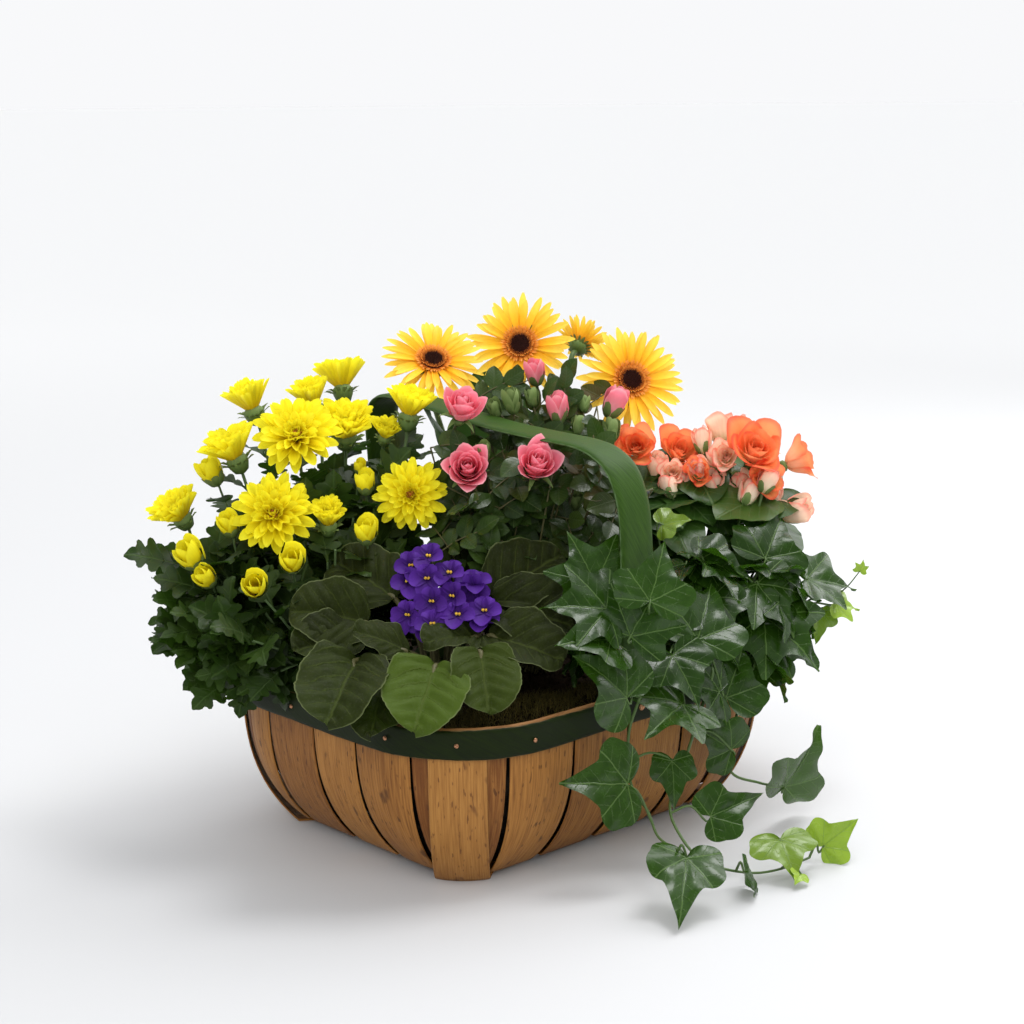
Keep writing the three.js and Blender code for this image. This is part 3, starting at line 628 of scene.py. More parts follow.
# %% Slats of the four walls
CROSS_EDGES = [-112, -59, -11, 41, 79, 112]
LENGTH_EDGES = [-84, -36, 7, 55, 84]
CROSS_END, LENGTH_END = 129, 99
FLOOR_ROWS = 14
END_STRIP_SUNK = 0.5


def wall_place(along, height, swap):
    """Place along a wall and out from the middle. Past the straight part it follows the corner."""
    half_x, half_y, corner = outline_at(height, INSET_WALL)
    rim_x, rim_y, rim_corner = outline_at(1, INSET_WALL)
    half_along, half_out = (half_y, half_x) if swap else (half_x, half_y)
    rim_straight = (rim_y if swap else rim_x) - rim_corner
    straight = half_along - corner
    angle = np.maximum(np.abs(along) - rim_straight, 0) / rim_corner
    flat = np.clip(along, -rim_straight, rim_straight) * straight / rim_straight
    return flat + np.sign(along) * corner * np.sin(angle), half_out - corner * (1 - np.cos(angle))


def wall_surface(start, end, under, swap, sunk=0.0):
    """A slat between two places along the rim. Under is how high it lies below the floor."""
    middle = under + SLAT["thickness"] / 2
    waver = wood_chance.uniform(-0.9, 0.9, (2, 2))

    def row(height, side):
        gap = SLAT["rim_gap"] + (SLAT["floor_gap"] - SLAT["rim_gap"]) * (1 - height) ** 2
        low = start + gap / 2 + waver[0, 0] * math.sin(4 * height + side) * 0.5
        high = end - gap / 2 + waver[0, 1] * math.sin(5 * height - side) * 0.5
        place, out = wall_place(low + (high - low) * SHARES, height, swap)
        out = out + 0.25 * np.sin(SHARES * math.pi) * math.sin(math.pi * min(height, 1)) - sunk
        z = np.full(len(SHARES), middle + (SLAT["top"] - middle) * height)
        return np.column_stack([side * out, place, z] if swap else [place, side * out, z])

    return down_under_up(row, FLOOR_ROWS)


def wall_of_slats(name, edges, end, layer, swap, tones):
    """The slats of two facing walls. A narrow strip beside each corner fills the end of the wall."""
    for i, (start, stop, tone) in enumerate(zip(edges, edges[1:], tones), 1):
        surfaces = [wall_surface(start, stop, layer * LAYER, swap)]
        if i == 1:
            surfaces.append(wall_surface(-end, start, layer * LAYER, swap, END_STRIP_SUNK))
        if i == len(edges) - 1:
            surfaces.append(wall_surface(stop, end, layer * LAYER, swap, END_STRIP_SUNK))
        slat_piece(f"splint_{name}_{i}", f"slat_{name}_{i}", surfaces, SLAT_WOOD, tone)


wall_of_slats("cross", CROSS_EDGES, CROSS_END, 2, False, (0.62, 0.50, 0.66, 0.55, 0.60))
wall_of_slats("length", LENGTH_EDGES, LENGTH_END, 3, True, (0.50, 0.68, 0.38, 0.60))

# %% [markdown]
# ## Corner slats
# Two wide slats run on the diagonals, outside all the others, and cross under the floor. There
# the second one has to climb over the first. A flat cut would let them pass through each other,
# so it is raised by one layer around the crossing.

# %% Corner slats
CORNER_FLOOR_ROWS = 31


def corner_surface(mirror, hump):
    """A slat on one diagonal, or on the other one if mirror is -1."""
    middle = SLAT["thickness"] / 2
    widths = (SHARES - 0.5) * SLAT["corner_width"]

    def row(height, end):
        half_x, half_y, corner = outline_at(height, INSET_CORNER)
        angle = math.pi / 4 + end * widths / corner
        x = end * (half_x - corner + corner * np.cos(angle))
        y = end * (half_y - corner + corner * np.sin(angle)) * mirror
        return np.column_stack([x, y, np.full(len(x), middle + (SLAT["top"] - middle) * height)])

    return down_under_up(row, CORNER_FLOOR_ROWS, hump)


for k, mirror, hump, tone in ((1, 1, 0, 0.6), (2, -1, LAYER, 0.5)):
    slat_piece(f"splint_corner_{k}", f"slat_corner_{k}", [corner_surface(mirror, hump)], CORNER_WOOD,
               tone)

# %% [markdown]
# ## Band and hoop
# The band is one painted splint round the rim, nailed through the slats to a hoop inside. Its
# edges are cut by hand, so they waver by about half a millimetre. A curve with a bevel profile
# would make both, but would give no coordinate for the grain. So a rounded section is carried
# along the rim's path.

# %% Section along a path
def section(width, thickness):
    """A flat section with rounded edges: place across, place out, nearness to an edge."""
    rows = []
    for side in (1, -1):
        for share in np.linspace(-1, 1, 11):
            place = side * share * width / 2
            out = side * thickness / 2 * (1 - 0.75 * abs(share) ** 14)
            rows.append((place, out, abs(share) ** 8))
    return np.array(rows)


def carried(path, out, across, shape, waver, closed, seed):
    """Carries the section along the path. Its blade is millimetres across and along."""
    n, ring = len(path), len(shape)
    sideways = shape[None, :, :1] + waver[:, None, None] * np.sign(shape[None, :, :1])
    points = path[:, None] + across[:, None] * sideways + out[:, None] * shape[None, :, 1:2]
    blade = np.zeros((n, ring, 3))
    blade[..., 0], blade[..., 1] = shape[None, :, 0] + seed, running_length(path)[:, None]
    blade[..., 2] = shape[None, :, 2]
    faces = grid_faces(n - 1, ring, closed=True)
    if not closed:
        faces = np.vstack([faces, end_caps(n, ring)])
    return points.reshape(-1, 3), faces, blade.reshape(-1, 3)


def rim_ring(name, node, inset, thickness, low, high, waver, material):
    """A ring that follows the rim at a height, with slightly wavering edges."""
    path, out = rim_path(inset + thickness / 2)
    path = path + [0, 0, (low + high) / 2]
    turns = np.linspace(0, 2 * math.pi, len(path))
    wander = np.sin(7 * turns + inset) * 0.5 + np.sin(17 * turns + 2) * 0.3 + np.sin(41 * turns) * 0.2
    up = np.tile([0.0, 0.0, 1.0], (len(path), 1))
    mould = Mould()
    mould.add(*carried(path, out, up, section(high - low, thickness), waver * wander, True, inset))
    mould.piece(name, [material], [node])


rim_ring("painted_band", "rim_band", 0, BAND["thickness"], BAND["low"], BAND["high"], 0.45, SHADED_BAND_PAINT)
INSET_HOOP = INSET_WALL + SLAT["thickness"] / 2 + WALL_GAP
rim_ring("hoop", "inner_hoop", INSET_HOOP, 3, 95, 110, 0.25, HOOP_WOOD)

# %% [markdown]
# ## Handle
# The handle is a wide splint, steamed, bent over the basket and riveted inside both long walls.
# A half circle would be the easy shape, but a bent splint has upright legs, tight shoulders and a
# flat top, and this one climbs a little to the far side. Its route is a few given points.

# %% Handle
HANDLE = {"x": 3, "width": 29, "thickness": 3}
HANDLE_ROUTE = [  # place along Y and height: the near leg, the top, the far leg
    (-122.9, 62), (-122.9, 111), (-123.5, 160), (-123, 204), (-120, 230), (-111, 250), (-97, 260),
    (-78, 264.5), (-40, 265.5), (0, 267), (40, 270.5), (80, 275), (104, 277), (119, 275.5), (128, 268),
    (131.5, 254), (129.5, 225), (125.5, 170), (122.9, 111), (122.9, 62),
]
route = smooth_path(HANDLE_ROUTE, 150)
ahead = unit(np.gradient(route, axis=0))
path = np.column_stack([np.full(len(route), HANDLE["x"]), route])
out = np.column_stack([np.zeros(len(route)), -ahead[:, 1], ahead[:, 0]])
sideways = np.tile([1.0, 0.0, 0.0], (len(route), 1))
waver = 0.3 * np.sin(np.linspace(0, 19, len(route)))
mould = Mould()
mould.add(*carried(path, out, sideways, section(HANDLE["width"], HANDLE["thickness"]), waver, False, 40))
mould.piece("bent_handle", [HANDLE_PAINT], ["handle"])
print("handle", round(running_length(route)[-1]), "mm long")

# %% [markdown]
# ## Nails of the band
# Small copper nails hold the band, a hand's width apart and never quite in one line. A dot in
# the paint's texture would show no shine, so each is a little turned head of its own.

# %% Nails of the band
NAIL_SIDES, NAIL_HEIGHT = 10, 101.5
NAIL_HEAD = [(1.5, -0.1), (1.45, 0.35), (1.0, 0.75), (0.35, 0.95)]  # radius, and place outwards


def rings_of(profile, sides):
    """The points of a turned body: a ring for each radius and place along the axis."""
    c, s = np.cos(even_turns(sides)), np.sin(even_turns(sides))
    return np.vstack([np.column_stack([r * c, r * s, np.full(sides, h)]) for r, h in profile])


half_x, half_y, corner = outline_at(1, 0)
bend = corner * math.sin(math.pi / 4)
nail_places = [(x, side * half_y, 0, side) for side in (-1, 1) for x in (-98, -42, 62, 99)]
nail_places += [(side * half_x, y, side, 0) for side in (-1, 1) for y in (-72, -24, 23, 73)]
nail_places += [(sx * (half_x - corner + bend), sy * (half_y - corner + bend), sx, sy)
                for sx in (-1, 1) for sy in (-1, 1)]
head = rings_of(NAIL_HEAD, NAIL_SIDES)
nails = Mould()
for k, (x, y, out_x, out_y) in enumerate(nail_places):
    points = set_down(head, (x, y, NAIL_HEIGHT + k % 3 - 1), (0, 0, 1), (out_x, out_y, 0))
    nails.add(points, grid_faces(len(NAIL_HEAD) - 1, NAIL_SIDES, closed=True))
    nails.add(points[-NAIL_SIDES:], [np.arange(NAIL_SIDES)])
nails.piece("band_nails", [COPPER], ())

# %% [markdown]
# ## Leaves
# Each kind of leaf starts as half an outline, a few points from the tip to the foot. A smooth line
# goes through them, its mirror image makes the other half, and lines across from the midrib fill
# the blade with a grid. Cutting a leaf out of a flat picture with transparency would be quicker,
# but its edge would not be geometry.

# %% Leaf outlines
LEAF_HALVES = {  # across and along, from the tip down to the foot
    "mum": [(.006, 1), (.07, .94), (.13, .895), (.12, .84), (.16, .80), (.26, .80), (.31, .75), (.27, .70),
            (.19, .65), (.24, .62), (.35, .615), (.42, .56), (.37, .49), (.27, .45), (.19, .41), (.24, .385),
            (.32, .36), (.32, .30), (.22, .24), (.11, .21), (.05, .15), (.03, .08), (.02, 0)],
    "rose": [(.005, 1), (.10, .93), (.23, .80), (.33, .62), (.37, .42), (.31, .21), (.17, .05), (.012, 0)],
    "begonia": [(.006, 1), (.16, .92), (.31, .78), (.43, .58), (.48, .34), (.46, .10), (.37, -.07),
                (.22, -.14), (.09, -.10), (.01, 0)],
    "violet": [(.02, 1), (.17, .965), (.31, .87), (.41, .71), (.455, .5), (.43, .27), (.33, .08), (.19, -.01),
               (.07, -.01), (.015, .02)],
    "gerbera": [(.006, 1), (.07, .95), (.13, .86), (.12, .80), (.17, .74), (.18, .64), (.13, .58),
                (.16, .50), (.15, .42), (.09, .36), (.11, .28), (.09, .22), (.04, .16), (.03, 0)],
    "ivy": [(.004, 1), (.05, .90), (.12, .76), (.20, .62), (.27, .50), (.32, .43), (.41, .41), (.53, .37),
            (.62, .27), (.61, .16), (.57, .07), (.55, -.03), (.48, -.13), (.36, -.19), (.22, -.18),
            (.10, -.11), (.01, -.01)],
    "pointed ivy": [(.004, 1), (.04, .88), (.09, .75), (.16, .62), (.23, .53), (.35, .53), (.50, .555),
                    (.645, .56), (.60, .44), (.53, .30), (.49, .18), (.55, .08), (.60, -.05), (.50, -.14),
                    (.36, -.18), (.20, -.15), (.09, -.09), (.01, -.01)],
}
print("outlines:", ", ".join(LEAF_HALVES))

# %% Leaf grids
def leaf_grid(kind, rows, columns, slant, scallops=0):
    """A flat leaf of length 1: across, along and nearness to the edge, and its faces.

    Slant is how far the lines that leave the midrib run up towards the tip.
    """
    line = smooth_path(LEAF_HALVES[kind], 10 * len(LEAF_HALVES[kind]))
    length = running_length(line)
    at = np.linspace(0, length[-1], rows + 1)
    x, y = (np.interp(at, length, line[:, k]) for k in (0, 1))
    if scallops:
        x = x + 0.012 * np.abs(np.sin(np.linspace(0, scallops * math.pi, rows + 1))) * (x > 0.05)
    middle = np.minimum.accumulate(np.clip(y - slant * x, 0, 1))
    middle = middle * 0.96 + np.linspace(1, 0, rows + 1) * 0.04
    share = np.linspace(-1, 1, 2 * columns + 1)
    near = np.abs(share)
    grid = np.zeros((rows + 1, len(share), 3))
    grid[..., 0] = x[:, None] * share
    grid[..., 1] = middle[:, None] + (y - middle)[:, None] * near
    grid[..., 2] = near
    return grid.reshape(-1, 3), grid_faces(rows, 2 * columns)


LEAVES = {
    kind: leaf_grid(kind, *grid) for kind, grid in {
        "mum": (30, 2, 0.5), "rose": (12, 3, 0.6), "begonia": (26, 4, 0.8), "violet": (44, 7, 0.6, 16),
        "gerbera": (40, 3, 0.4), "ivy": (36, 5, 1.1), "pointed ivy": (40, 5, 1.1),
    }.items()
}
print("faces in a leaf:", {kind: len(faces) for kind, (grid, faces) in LEAVES.items()})

# %% [markdown]
# ## Bending and laying a leaf
# A real leaf folds along its midrib, droops towards its tip, ripples at its edge and swells
# between its veins. Modifiers could bend it, but each leaf would need its own stack. Here every
# one of these is a line of arithmetic on the grid, with its amount drawn anew for each leaf.

# %% Bending and laying a leaf
IVY_RAYS = np.radians([0, 48, 100])  # the directions of ivy's main veins
RIBS = {"violet": (6, 0.75), "begonia": (5, 1.0)}  # side veins from foot to tip, and their slant


def relief(kind, flat, puff):
    """How far the blade swells between its veins."""
    x, y, near = np.abs(flat[:, 0]), flat[:, 1], flat[:, 2]
    if "ivy" in kind:
        to_vein = np.min([np.abs(x * math.cos(a) - y * math.sin(a)) for a in IVY_RAYS], axis=0)
        return puff * np.minimum(to_vein, 0.16)
    ribs, slant = RIBS.get(kind, (6, 0.7))
    uneven = 0.35 * np.sin(5 * y + 3 * flat[:, 0])
    swell = np.abs(np.sin(math.pi * ribs * (y - slant * x) + uneven))
    return puff * swell * (1 - near**3) * np.minimum(near * 3, 1)


def lay_leaf(mould, kind, at, along, face, size, chance, slot=0, tone=None, fold=0.25, droop=0.5,
             ripple=0.035, curl=0.3, puff=0.0, width=1.0, twist=0.0):
    """Bends one leaf, each a little differently, and lays it with its foot at a place."""
    flat, faces = LEAVES[kind]
    x, y, near = flat[:, 0] * width, flat[:, 1], flat[:, 2]
    fold, droop = fold * chance.uniform(0.6, 1.4), droop * chance.uniform(0.6, 1.4)
    wave = np.sin(chance.uniform(0, 6) + 8 * y + 2 * np.sign(x))
    wave = wave + 0.5 * np.sin(chance.uniform(0, 6) + 19 * y)
    z = fold * np.abs(x) - curl * x**2 + ripple * near**2 * wave + relief(kind, flat, puff)
    # The blade bends down along its length, round a chord that still runs from foot to tip.
    angle, chord = droop * (y - 0.5), 0.5 * droop / math.sin(0.5 * droop)
    bent_y = chord * ((np.sin(angle) + math.sin(0.5 * droop)) / droop + z * np.sin(angle))
    bent_z = chord * ((np.cos(angle) - math.cos(0.5 * droop)) / droop + z * np.cos(angle))
    turn = twist * y
    points = np.column_stack([x * np.cos(turn) - bent_z * np.sin(turn), bent_y,
                              bent_z * np.cos(turn) + x * np.sin(turn)])
    if tone is None:
        tone = chance.uniform(0, 1)
    mould.add(set_down(points, at, along, face, size), faces, flat, tone, slot)


print("leaves swell between", len(IVY_RAYS), "rays or", RIBS["violet"][0], "ribs")

# %% [markdown]
# ## Leaf finishes
# A leaf's material draws the midrib and the side veins from the place on the blade, and mottles
# the green between them. Light also comes through a leaf, so a Translucent shader is mixed with
# the Principled one. The tone makes some leaves lighter; over 1, a leaf is young and lime green.

# %% Light through a leaf, and its veins
def through_light(recipe, surface, colour, share):
    """Lets part of the light pass through a thin surface, in one even colour."""
    thin = recipe.node("ShaderNodeBsdfTranslucent", {}, {"Color": colour})
    mixed = recipe.node("ShaderNodeMixShader", {}, {0: share, 1: surface, 2: thin})
    return recipe.show(mixed)


def straight_veins(off, along, edge, fine, ribs, slant):
    """A midrib, and side veins that leave it on a slant."""
    main = 1 - off.rise(0.006, 0.022)
    between = ((along - off * slant) * ribs + fine * 0.12).part()
    side = (1 - abs(between - 0.5).rise(0.018, 0.06)) * (1 - edge.rise(0.6, 1.0)) * 0.75
    return main.high(side)


def ray_veins(off, along, fine):
    """Ivy's main veins, one to each lobe, with small ones that branch off them."""
    to_ray = [abs(off * math.cos(a) - along * math.sin(a)) for a in IVY_RAYS]
    on_ray = [off * math.sin(a) + along * math.cos(a) for a in IVY_RAYS]
    nearest = to_ray[0].low(to_ray[1]).low(to_ray[2])
    main = 1 - nearest.rise(0.003, 0.012)
    first = to_ray[0].less(to_ray[1].low(to_ray[2]))
    second = to_ray[1].less(to_ray[2])
    reach = first * on_ray[0] + (1 - first) * (second * on_ray[1] + (1 - second) * on_ray[2])
    between = ((reach - nearest * 0.9) * 6 + fine * 0.35).part()
    side = (1 - abs(between - 0.5).rise(0.01, 0.05)) * (1 - nearest.rise(0.08, 0.24)) * 0.45
    return main.high(side)


print("veins on the rays of", [round(math.degrees(a)) for a in IVY_RAYS], "degrees, or on ribs")

# %% Leaf material
DOWN_HAIRS = (0.42, 0.45, 0.36)


def leaf_finish(name, dark, light, vein, gloss, through, ribs=6, slant=0.7, rim=None, vein_strength=0.6,
                young=None, rays=False, down=0.0, relief_mm=0.5, shine=0.35, quilt=0.25):
    """Mottled green with veins. Down is a coat of fine hairs, and quilt is unevenness."""
    leaf = Recipe(bpy.data.materials.new(name))
    _, across, along, edge, tone = place_on_blade(leaf)
    solid = place_in_solid(leaf)
    mottle, fine = noise(leaf, solid, 140, 4), noise(leaf, solid, 900, 3)
    off = abs(across + (mottle - 0.5) * 0.05)
    veins = ray_veins(off, along, fine) if rays else straight_veins(off, along, edge, fine, ribs, slant)
    colour = leaf.blend(dark, light, (tone * 0.6 + mottle * 0.9 - 0.3).clipped())
    if young:
        colour = leaf.blend(colour, young, tone.rise(0.65, 1.2))
    colour = leaf.blend(colour, vein, veins * vein_strength)
    if rim:
        colour = leaf.blend(colour, rim, edge.rise(0.95, 1.0) * 0.7)
    if down:
        colour = leaf.blend(colour, DOWN_HAIRS, fine.rise(0.5, 0.8) * down)
    height = mottle * quilt + fine * 0.08 - veins * 0.8
    surface = leaf.lit(colour, gloss + mottle * 0.16 + veins * 0.1, height, 0.6, relief_mm * MM,
                       0.2 if down else shine)
    return through_light(leaf, surface, through, 0.2)


print("leaf material ready")

# %% The plants' leaves
MUM_LEAF = leaf_finish(
    "mum leaf", (0.005, 0.014, 0.002), (0.034, 0.066, 0.008), (0.07, 0.12, 0.03), 0.38,
    (0.06, 0.16, 0.012), ribs=5, vein_strength=0.4, shine=0.45, quilt=0.5)
ROSE_LEAF = leaf_finish(
    "rose leaflet", (0.010, 0.024, 0.005), (0.048, 0.088, 0.014), (0.09, 0.13, 0.04), 0.24,
    (0.06, 0.14, 0.012), ribs=7, vein_strength=0.4, shine=0.5, quilt=0.5, young=(0.10, 0.045, 0.012))
BEGONIA_LEAF = leaf_finish(
    "begonia leaf", (0.010, 0.032, 0.005), (0.040, 0.094, 0.013), (0.10, 0.17, 0.05), 0.28,
    (0.10, 0.25, 0.03), ribs=5, slant=1.0, young=(0.13, 0.20, 0.03), quilt=0.5)
VIOLET_LEAF = leaf_finish(
    "violet leaf", (0.009, 0.012, 0.002), (0.033, 0.047, 0.005), (0.075, 0.10, 0.02), 0.60,
    (0.06, 0.12, 0.008), ribs=5, slant=0.9, rim=(0.15, 0.18, 0.07), vein_strength=0.4,
    young=(0.075, 0.130, 0.010), down=0.05, relief_mm=0.9)
GERBERA_LEAF = leaf_finish(
    "gerbera leaf", (0.008, 0.026, 0.006), (0.026, 0.066, 0.014), (0.07, 0.12, 0.04), 0.40,
    (0.05, 0.13, 0.015), ribs=7, slant=0.6, quilt=0.4)
IVY_LEAF = leaf_finish(
    "ivy leaf", (0.006, 0.020, 0.002), (0.031, 0.082, 0.006), (0.13, 0.23, 0.05), 0.18,
    (0.06, 0.18, 0.008), rays=True, young=(0.30, 0.45, 0.035), vein_strength=0.5, shine=0.5, quilt=0.9)
print("six leaf finishes")

# %% [markdown]
# ## Stalks and other small parts
# Stalks, pollen and moss are too thin for veins or grain. A fine streak between two colours and
# a little bump are enough, and one short recipe serves them all.

# %% Stalk finish
def stalk_finish(name, dark, light, gloss=0.5):
    stalk = Recipe(bpy.data.materials.new(name))
    *_, tone = place_on_blade(stalk)
    streak = noise(stalk, place_in_solid(stalk), 260, 3)
    colour = stalk.blend(dark, light, (streak * 0.8 + tone * 0.6 - 0.2).clipped())
    return stalk.show(stalk.lit(colour, gloss + streak * 0.2, streak, 0.4, 0.0004))


SAGE_STALK = stalk_finish("sage stalk", (0.05, 0.09, 0.03), (0.13, 0.20, 0.08))
GREEN_STALK = stalk_finish("green stalk", (0.035, 0.075, 0.016), (0.09, 0.15, 0.04), 0.4)
BROWN_STALK = stalk_finish("brown stalk", (0.05, 0.040, 0.015), (0.12, 0.12, 0.045), 0.45)
print("three stalk finishes")

# %% [markdown]
# ## Strap petals
# The petals of the chrysanthemum, the gerbera and the violet are long strips that leave the
# middle of the bloom and bend in or out. Each could be drawn as a curve with a width, but a grid
# bent along an arc of a circle keeps its length, whatever its two angles are. A whorl is a ring of
# such petals, each a little longer or shorter than the next.

# %% Strap petals
PETAL_STEPS = np.array([0, 0.14, 0.32, 0.5, 0.66, 0.8, 0.9, 0.965, 1])
BLOOM_SIDE = [0.2, 0.3, 0.93]  # any direction that no bloom faces exactly


def strap_petal(widths, start, end, cup, columns=4, notch=0.0, round_end=0.3, steps=PETAL_STEPS):
    """A petal of length 1. Start and end are its angles to the level at foot and tip, in degrees."""
    t = steps[:, None]
    s = np.linspace(-1, 1, columns + 1)[None]
    half = np.interp(t, np.linspace(0, 1, len(widths)), widths)
    half = half * np.sqrt(np.maximum(1 - (np.clip(t - 1 + round_end, 0, 1) / round_end) ** 2, 0.06))
    low, high = math.radians(start), math.radians(end) + 1e-3
    reach = t * (1 - notch * (np.abs(s) < 0.3) * t**8)
    angle = low + (high - low) * reach
    y = (np.sin(angle) - math.sin(low)) / (high - low)
    z = (math.cos(low) - np.cos(angle)) / (high - low)
    lift = cup * half * s**2
    points = np.stack([half * s, y - lift * np.sin(angle), z + lift * np.cos(angle)], axis=-1)
    blade = np.stack(np.broadcast_arrays(s * 0.5, t, np.abs(s)), axis=-1)
    return points.reshape(-1, 3), grid_faces(len(steps) - 1, columns), blade.reshape(-1, 3)


def about_axis(points, angle):
    """Turns points about the Z axis, the axis of a bloom."""
    c, s = math.cos(angle), math.sin(angle)
    return points @ np.array([[c, -s, 0], [s, c, 0], [0, 0, 1]])


def side_of(towards):
    return unit(np.cross(towards, BLOOM_SIDE))


def on_bloom(mould, points, faces, blade, at, towards, size, tone, slot):
    """Adds points made about the Z axis, turned so that Z runs towards where the bloom faces."""
    mould.add(set_down(points, at, side_of(towards), towards, size), faces, blade, tone, slot)


def ring_of_straps(mould, at, towards, size, chance, count, length, inner, widths, start, end, cup,
                   rise, slot, tone, columns=4, notch=0.0, steps=PETAL_STEPS):
    """A whorl of strap petals. Lengths are shares of the bloom's size."""
    turn = chance.uniform(0, 6.28)
    for k in range(count):
        own = length * chance.uniform(0.90, 1.06)
        lean = chance.uniform(-6, 6)
        points, faces, blade = strap_petal(widths / own, start + lean, end + lean * 1.6,
                                           cup * chance.uniform(0.5, 1.5), columns,
                                           notch * chance.uniform(0, 1), steps=steps)
        points = points * own
        points[:, 0] += chance.uniform(-0.10, 0.10) * points[:, 1]
        points = points + [0, inner, rise]
        angle = turn + (k + chance.uniform(-0.16, 0.16)) * 2 * math.pi / count
        on_bloom(mould, about_axis(points, angle), faces, blade, at, towards, size,
                 tone + chance.uniform(-0.2, 0.2), slot)


print("a strap petal has", len(strap_petal([0.1, 0.1], 0, 10, 0)[1]), "faces")

# %% [markdown]
# ## Shell petals
# The petals of the rose and the begonia wrap round the bloom's axis like bowls inside each other.
# Sculpting them one by one would take days. Each is a grid bent round the axis, whose profile
# leans out by three angles, and a nest of shells opens step by step from the tight heart out.

# %% Shell petals
GOLDEN_TURN = math.radians(137.5)  # from one leaf or petal to the next, as on most plants


def shell_petal(rows, columns, foot, height, spread, leans, dip, ruffle, phase, point=2.6):
    """A petal round the axis. It leans out from upright by its angles at foot, belly and lip."""
    v = np.linspace(0, 1, 25)
    lean = np.radians(np.interp(v, (0, 0.35, 0.65, 1), (leans[0], leans[1], leans[1], leans[2])))
    middle = (lean[1:] + lean[:-1]) / 2
    r = foot + height * np.concatenate([[0], np.cumsum(np.sin(middle) / 24)])
    z = height * np.concatenate([[0], np.cumsum(np.cos(middle) / 24)])
    t = np.linspace(0, 1, rows + 1)[:, None]
    u = np.linspace(-1, 1, columns + 1)[None]
    reach = t * (1 - dip * np.abs(u) ** point)
    wide = np.radians(spread) * (0.45 + 0.55 * np.sin(np.minimum(t * 1.3, 1) * math.pi / 2))
    radius = np.interp(reach, v, r) + ruffle * t**3 * np.sin(phase + 4 * u)
    up = np.interp(reach, v, z) + ruffle * t**3 * np.cos(phase * 2 + 5 * u)
    points = np.stack([radius * np.sin(u * wide), radius * np.cos(u * wide), up], axis=-1)
    blade = np.stack(np.broadcast_arrays(u * 0.5, t, np.abs(u)), axis=-1)
    return points.reshape(-1, 3), grid_faces(rows, columns), blade.reshape(-1, 3)


def nest_of_shells(mould, at, towards, size, chance, count, open_out, foot, height, spread, ruffle,
                   slot, dip, rows, columns, foot_lean=(25, 72), belly=(-4, 32), point=(2.6, 2.6)):
    """Shells one inside the other. Pairs are for the heart and for the outermost shell."""
    for k in range(count):
        share = k / max(count - 1, 1)
        own_foot, own_height, own_spread, low_lean, middle_lean, own_point = (
            ends[0] + (ends[1] - ends[0]) * share for ends in (foot, height, spread, foot_lean, belly, point)
        )
        leans = (low_lean, middle_lean, -24 + (open_out + 24) * share**1.3 + chance.uniform(-7, 7))
        points, faces, blade = shell_petal(
            rows, columns, own_foot, own_height * chance.uniform(0.93, 1.07), own_spread, leans, dip,
            ruffle * (0.3 + share), chance.uniform(0, 6), own_point)
        angle = k * GOLDEN_TURN + chance.uniform(-0.2, 0.2)
        on_bloom(mould, about_axis(points, angle), faces, blade, at, towards, size,
                 0.25 + 0.5 * share + chance.uniform(-0.12, 0.12), slot)


print("each shell turns", round(math.degrees(GOLDEN_TURN), 1), "degrees on from the one before")

# %% [markdown]
# ## Green cups and bloom stems
# Under each bloom sits a small turned cup, and behind it a stem that comes up from the plant's
# crown in the soil. The stem has to reach the bloom from behind, whichever way it faces, so its
# path is worked out backwards from there.

# %% Turned shapes
TURNED_SIDES = 12


def turned(mould, profile, at, towards, size, slot):
    """A turned body with closed ends, its profile given from below."""
    sides = TURNED_SIDES
    points = rings_of(profile, sides)
    c, s = np.cos(even_turns(sides)), np.sin(even_turns(sides))
    blade = np.vstack([np.column_stack([c * 0.5, np.full(sides, k / len(profile)), s * 0.5])
                       for k in range(len(profile))])
    faces = grid_faces(len(profile) - 1, sides, closed=True)
    on_bloom(mould, points, faces, blade, at, towards, size, 0.5, slot)
    for ring, order in ((points[:sides], -1), (points[-sides:], 1)):
        end = [np.arange(sides)[::order]]
        on_bloom(mould, ring, end, np.zeros((sides, 3)), at, towards, size, 0.5, slot)


def green_cup(mould, at, towards, size, slot, depth, width=0.13):
    profile = [(0.035, -depth), (width * 0.7, -depth * 0.88), (width, -depth * 0.55),
               (width * 1.05, -depth * 0.3), (width * 0.7, -0.03)]
    turned(mould, profile, at, towards, size, slot)


print("rings of", TURNED_SIDES, "points at each step of a turned profile")

# %% Bloom stems
SOIL_TOP, ROOT_SPREAD = 96.0, 0.3


def root_towards(crown, place):
    """Where a stem leaves the soil: a little from the crown, on the side that it leans to."""
    x, y = (crown[k] + (place[k] - crown[k]) * ROOT_SPREAD for k in (0, 1))
    return np.array([x, y, SOIL_TOP - 3])


def bloom_stem(crown, at, towards, back):
    """The stem's path: up from the crown, leaning out, and into the bloom from behind."""
    root = root_towards(crown, at)
    neck = at - towards * back * 0.8
    below = neck - towards * 14 - [0, 0, 6]
    knee = root + (below - root) * 0.4
    knee[2] = root[2] + (below[2] - root[2]) * 0.5
    return smooth_path([root, root + [0, 0, 10], knee, below, neck], 18)


print("stems leave the soil", ROOT_SPREAD, "of the way from the crown to their bloom")

# %% [markdown]
# ## Petal finishes
# A petal changes colour from its foot to its tip, in fine lengthwise streaks, and some have a
# darker lip or a paler back. A photograph on each petal would freeze its light, so the colour is
# worked out from the place on the blade. Petals are thin, so light comes through them too.

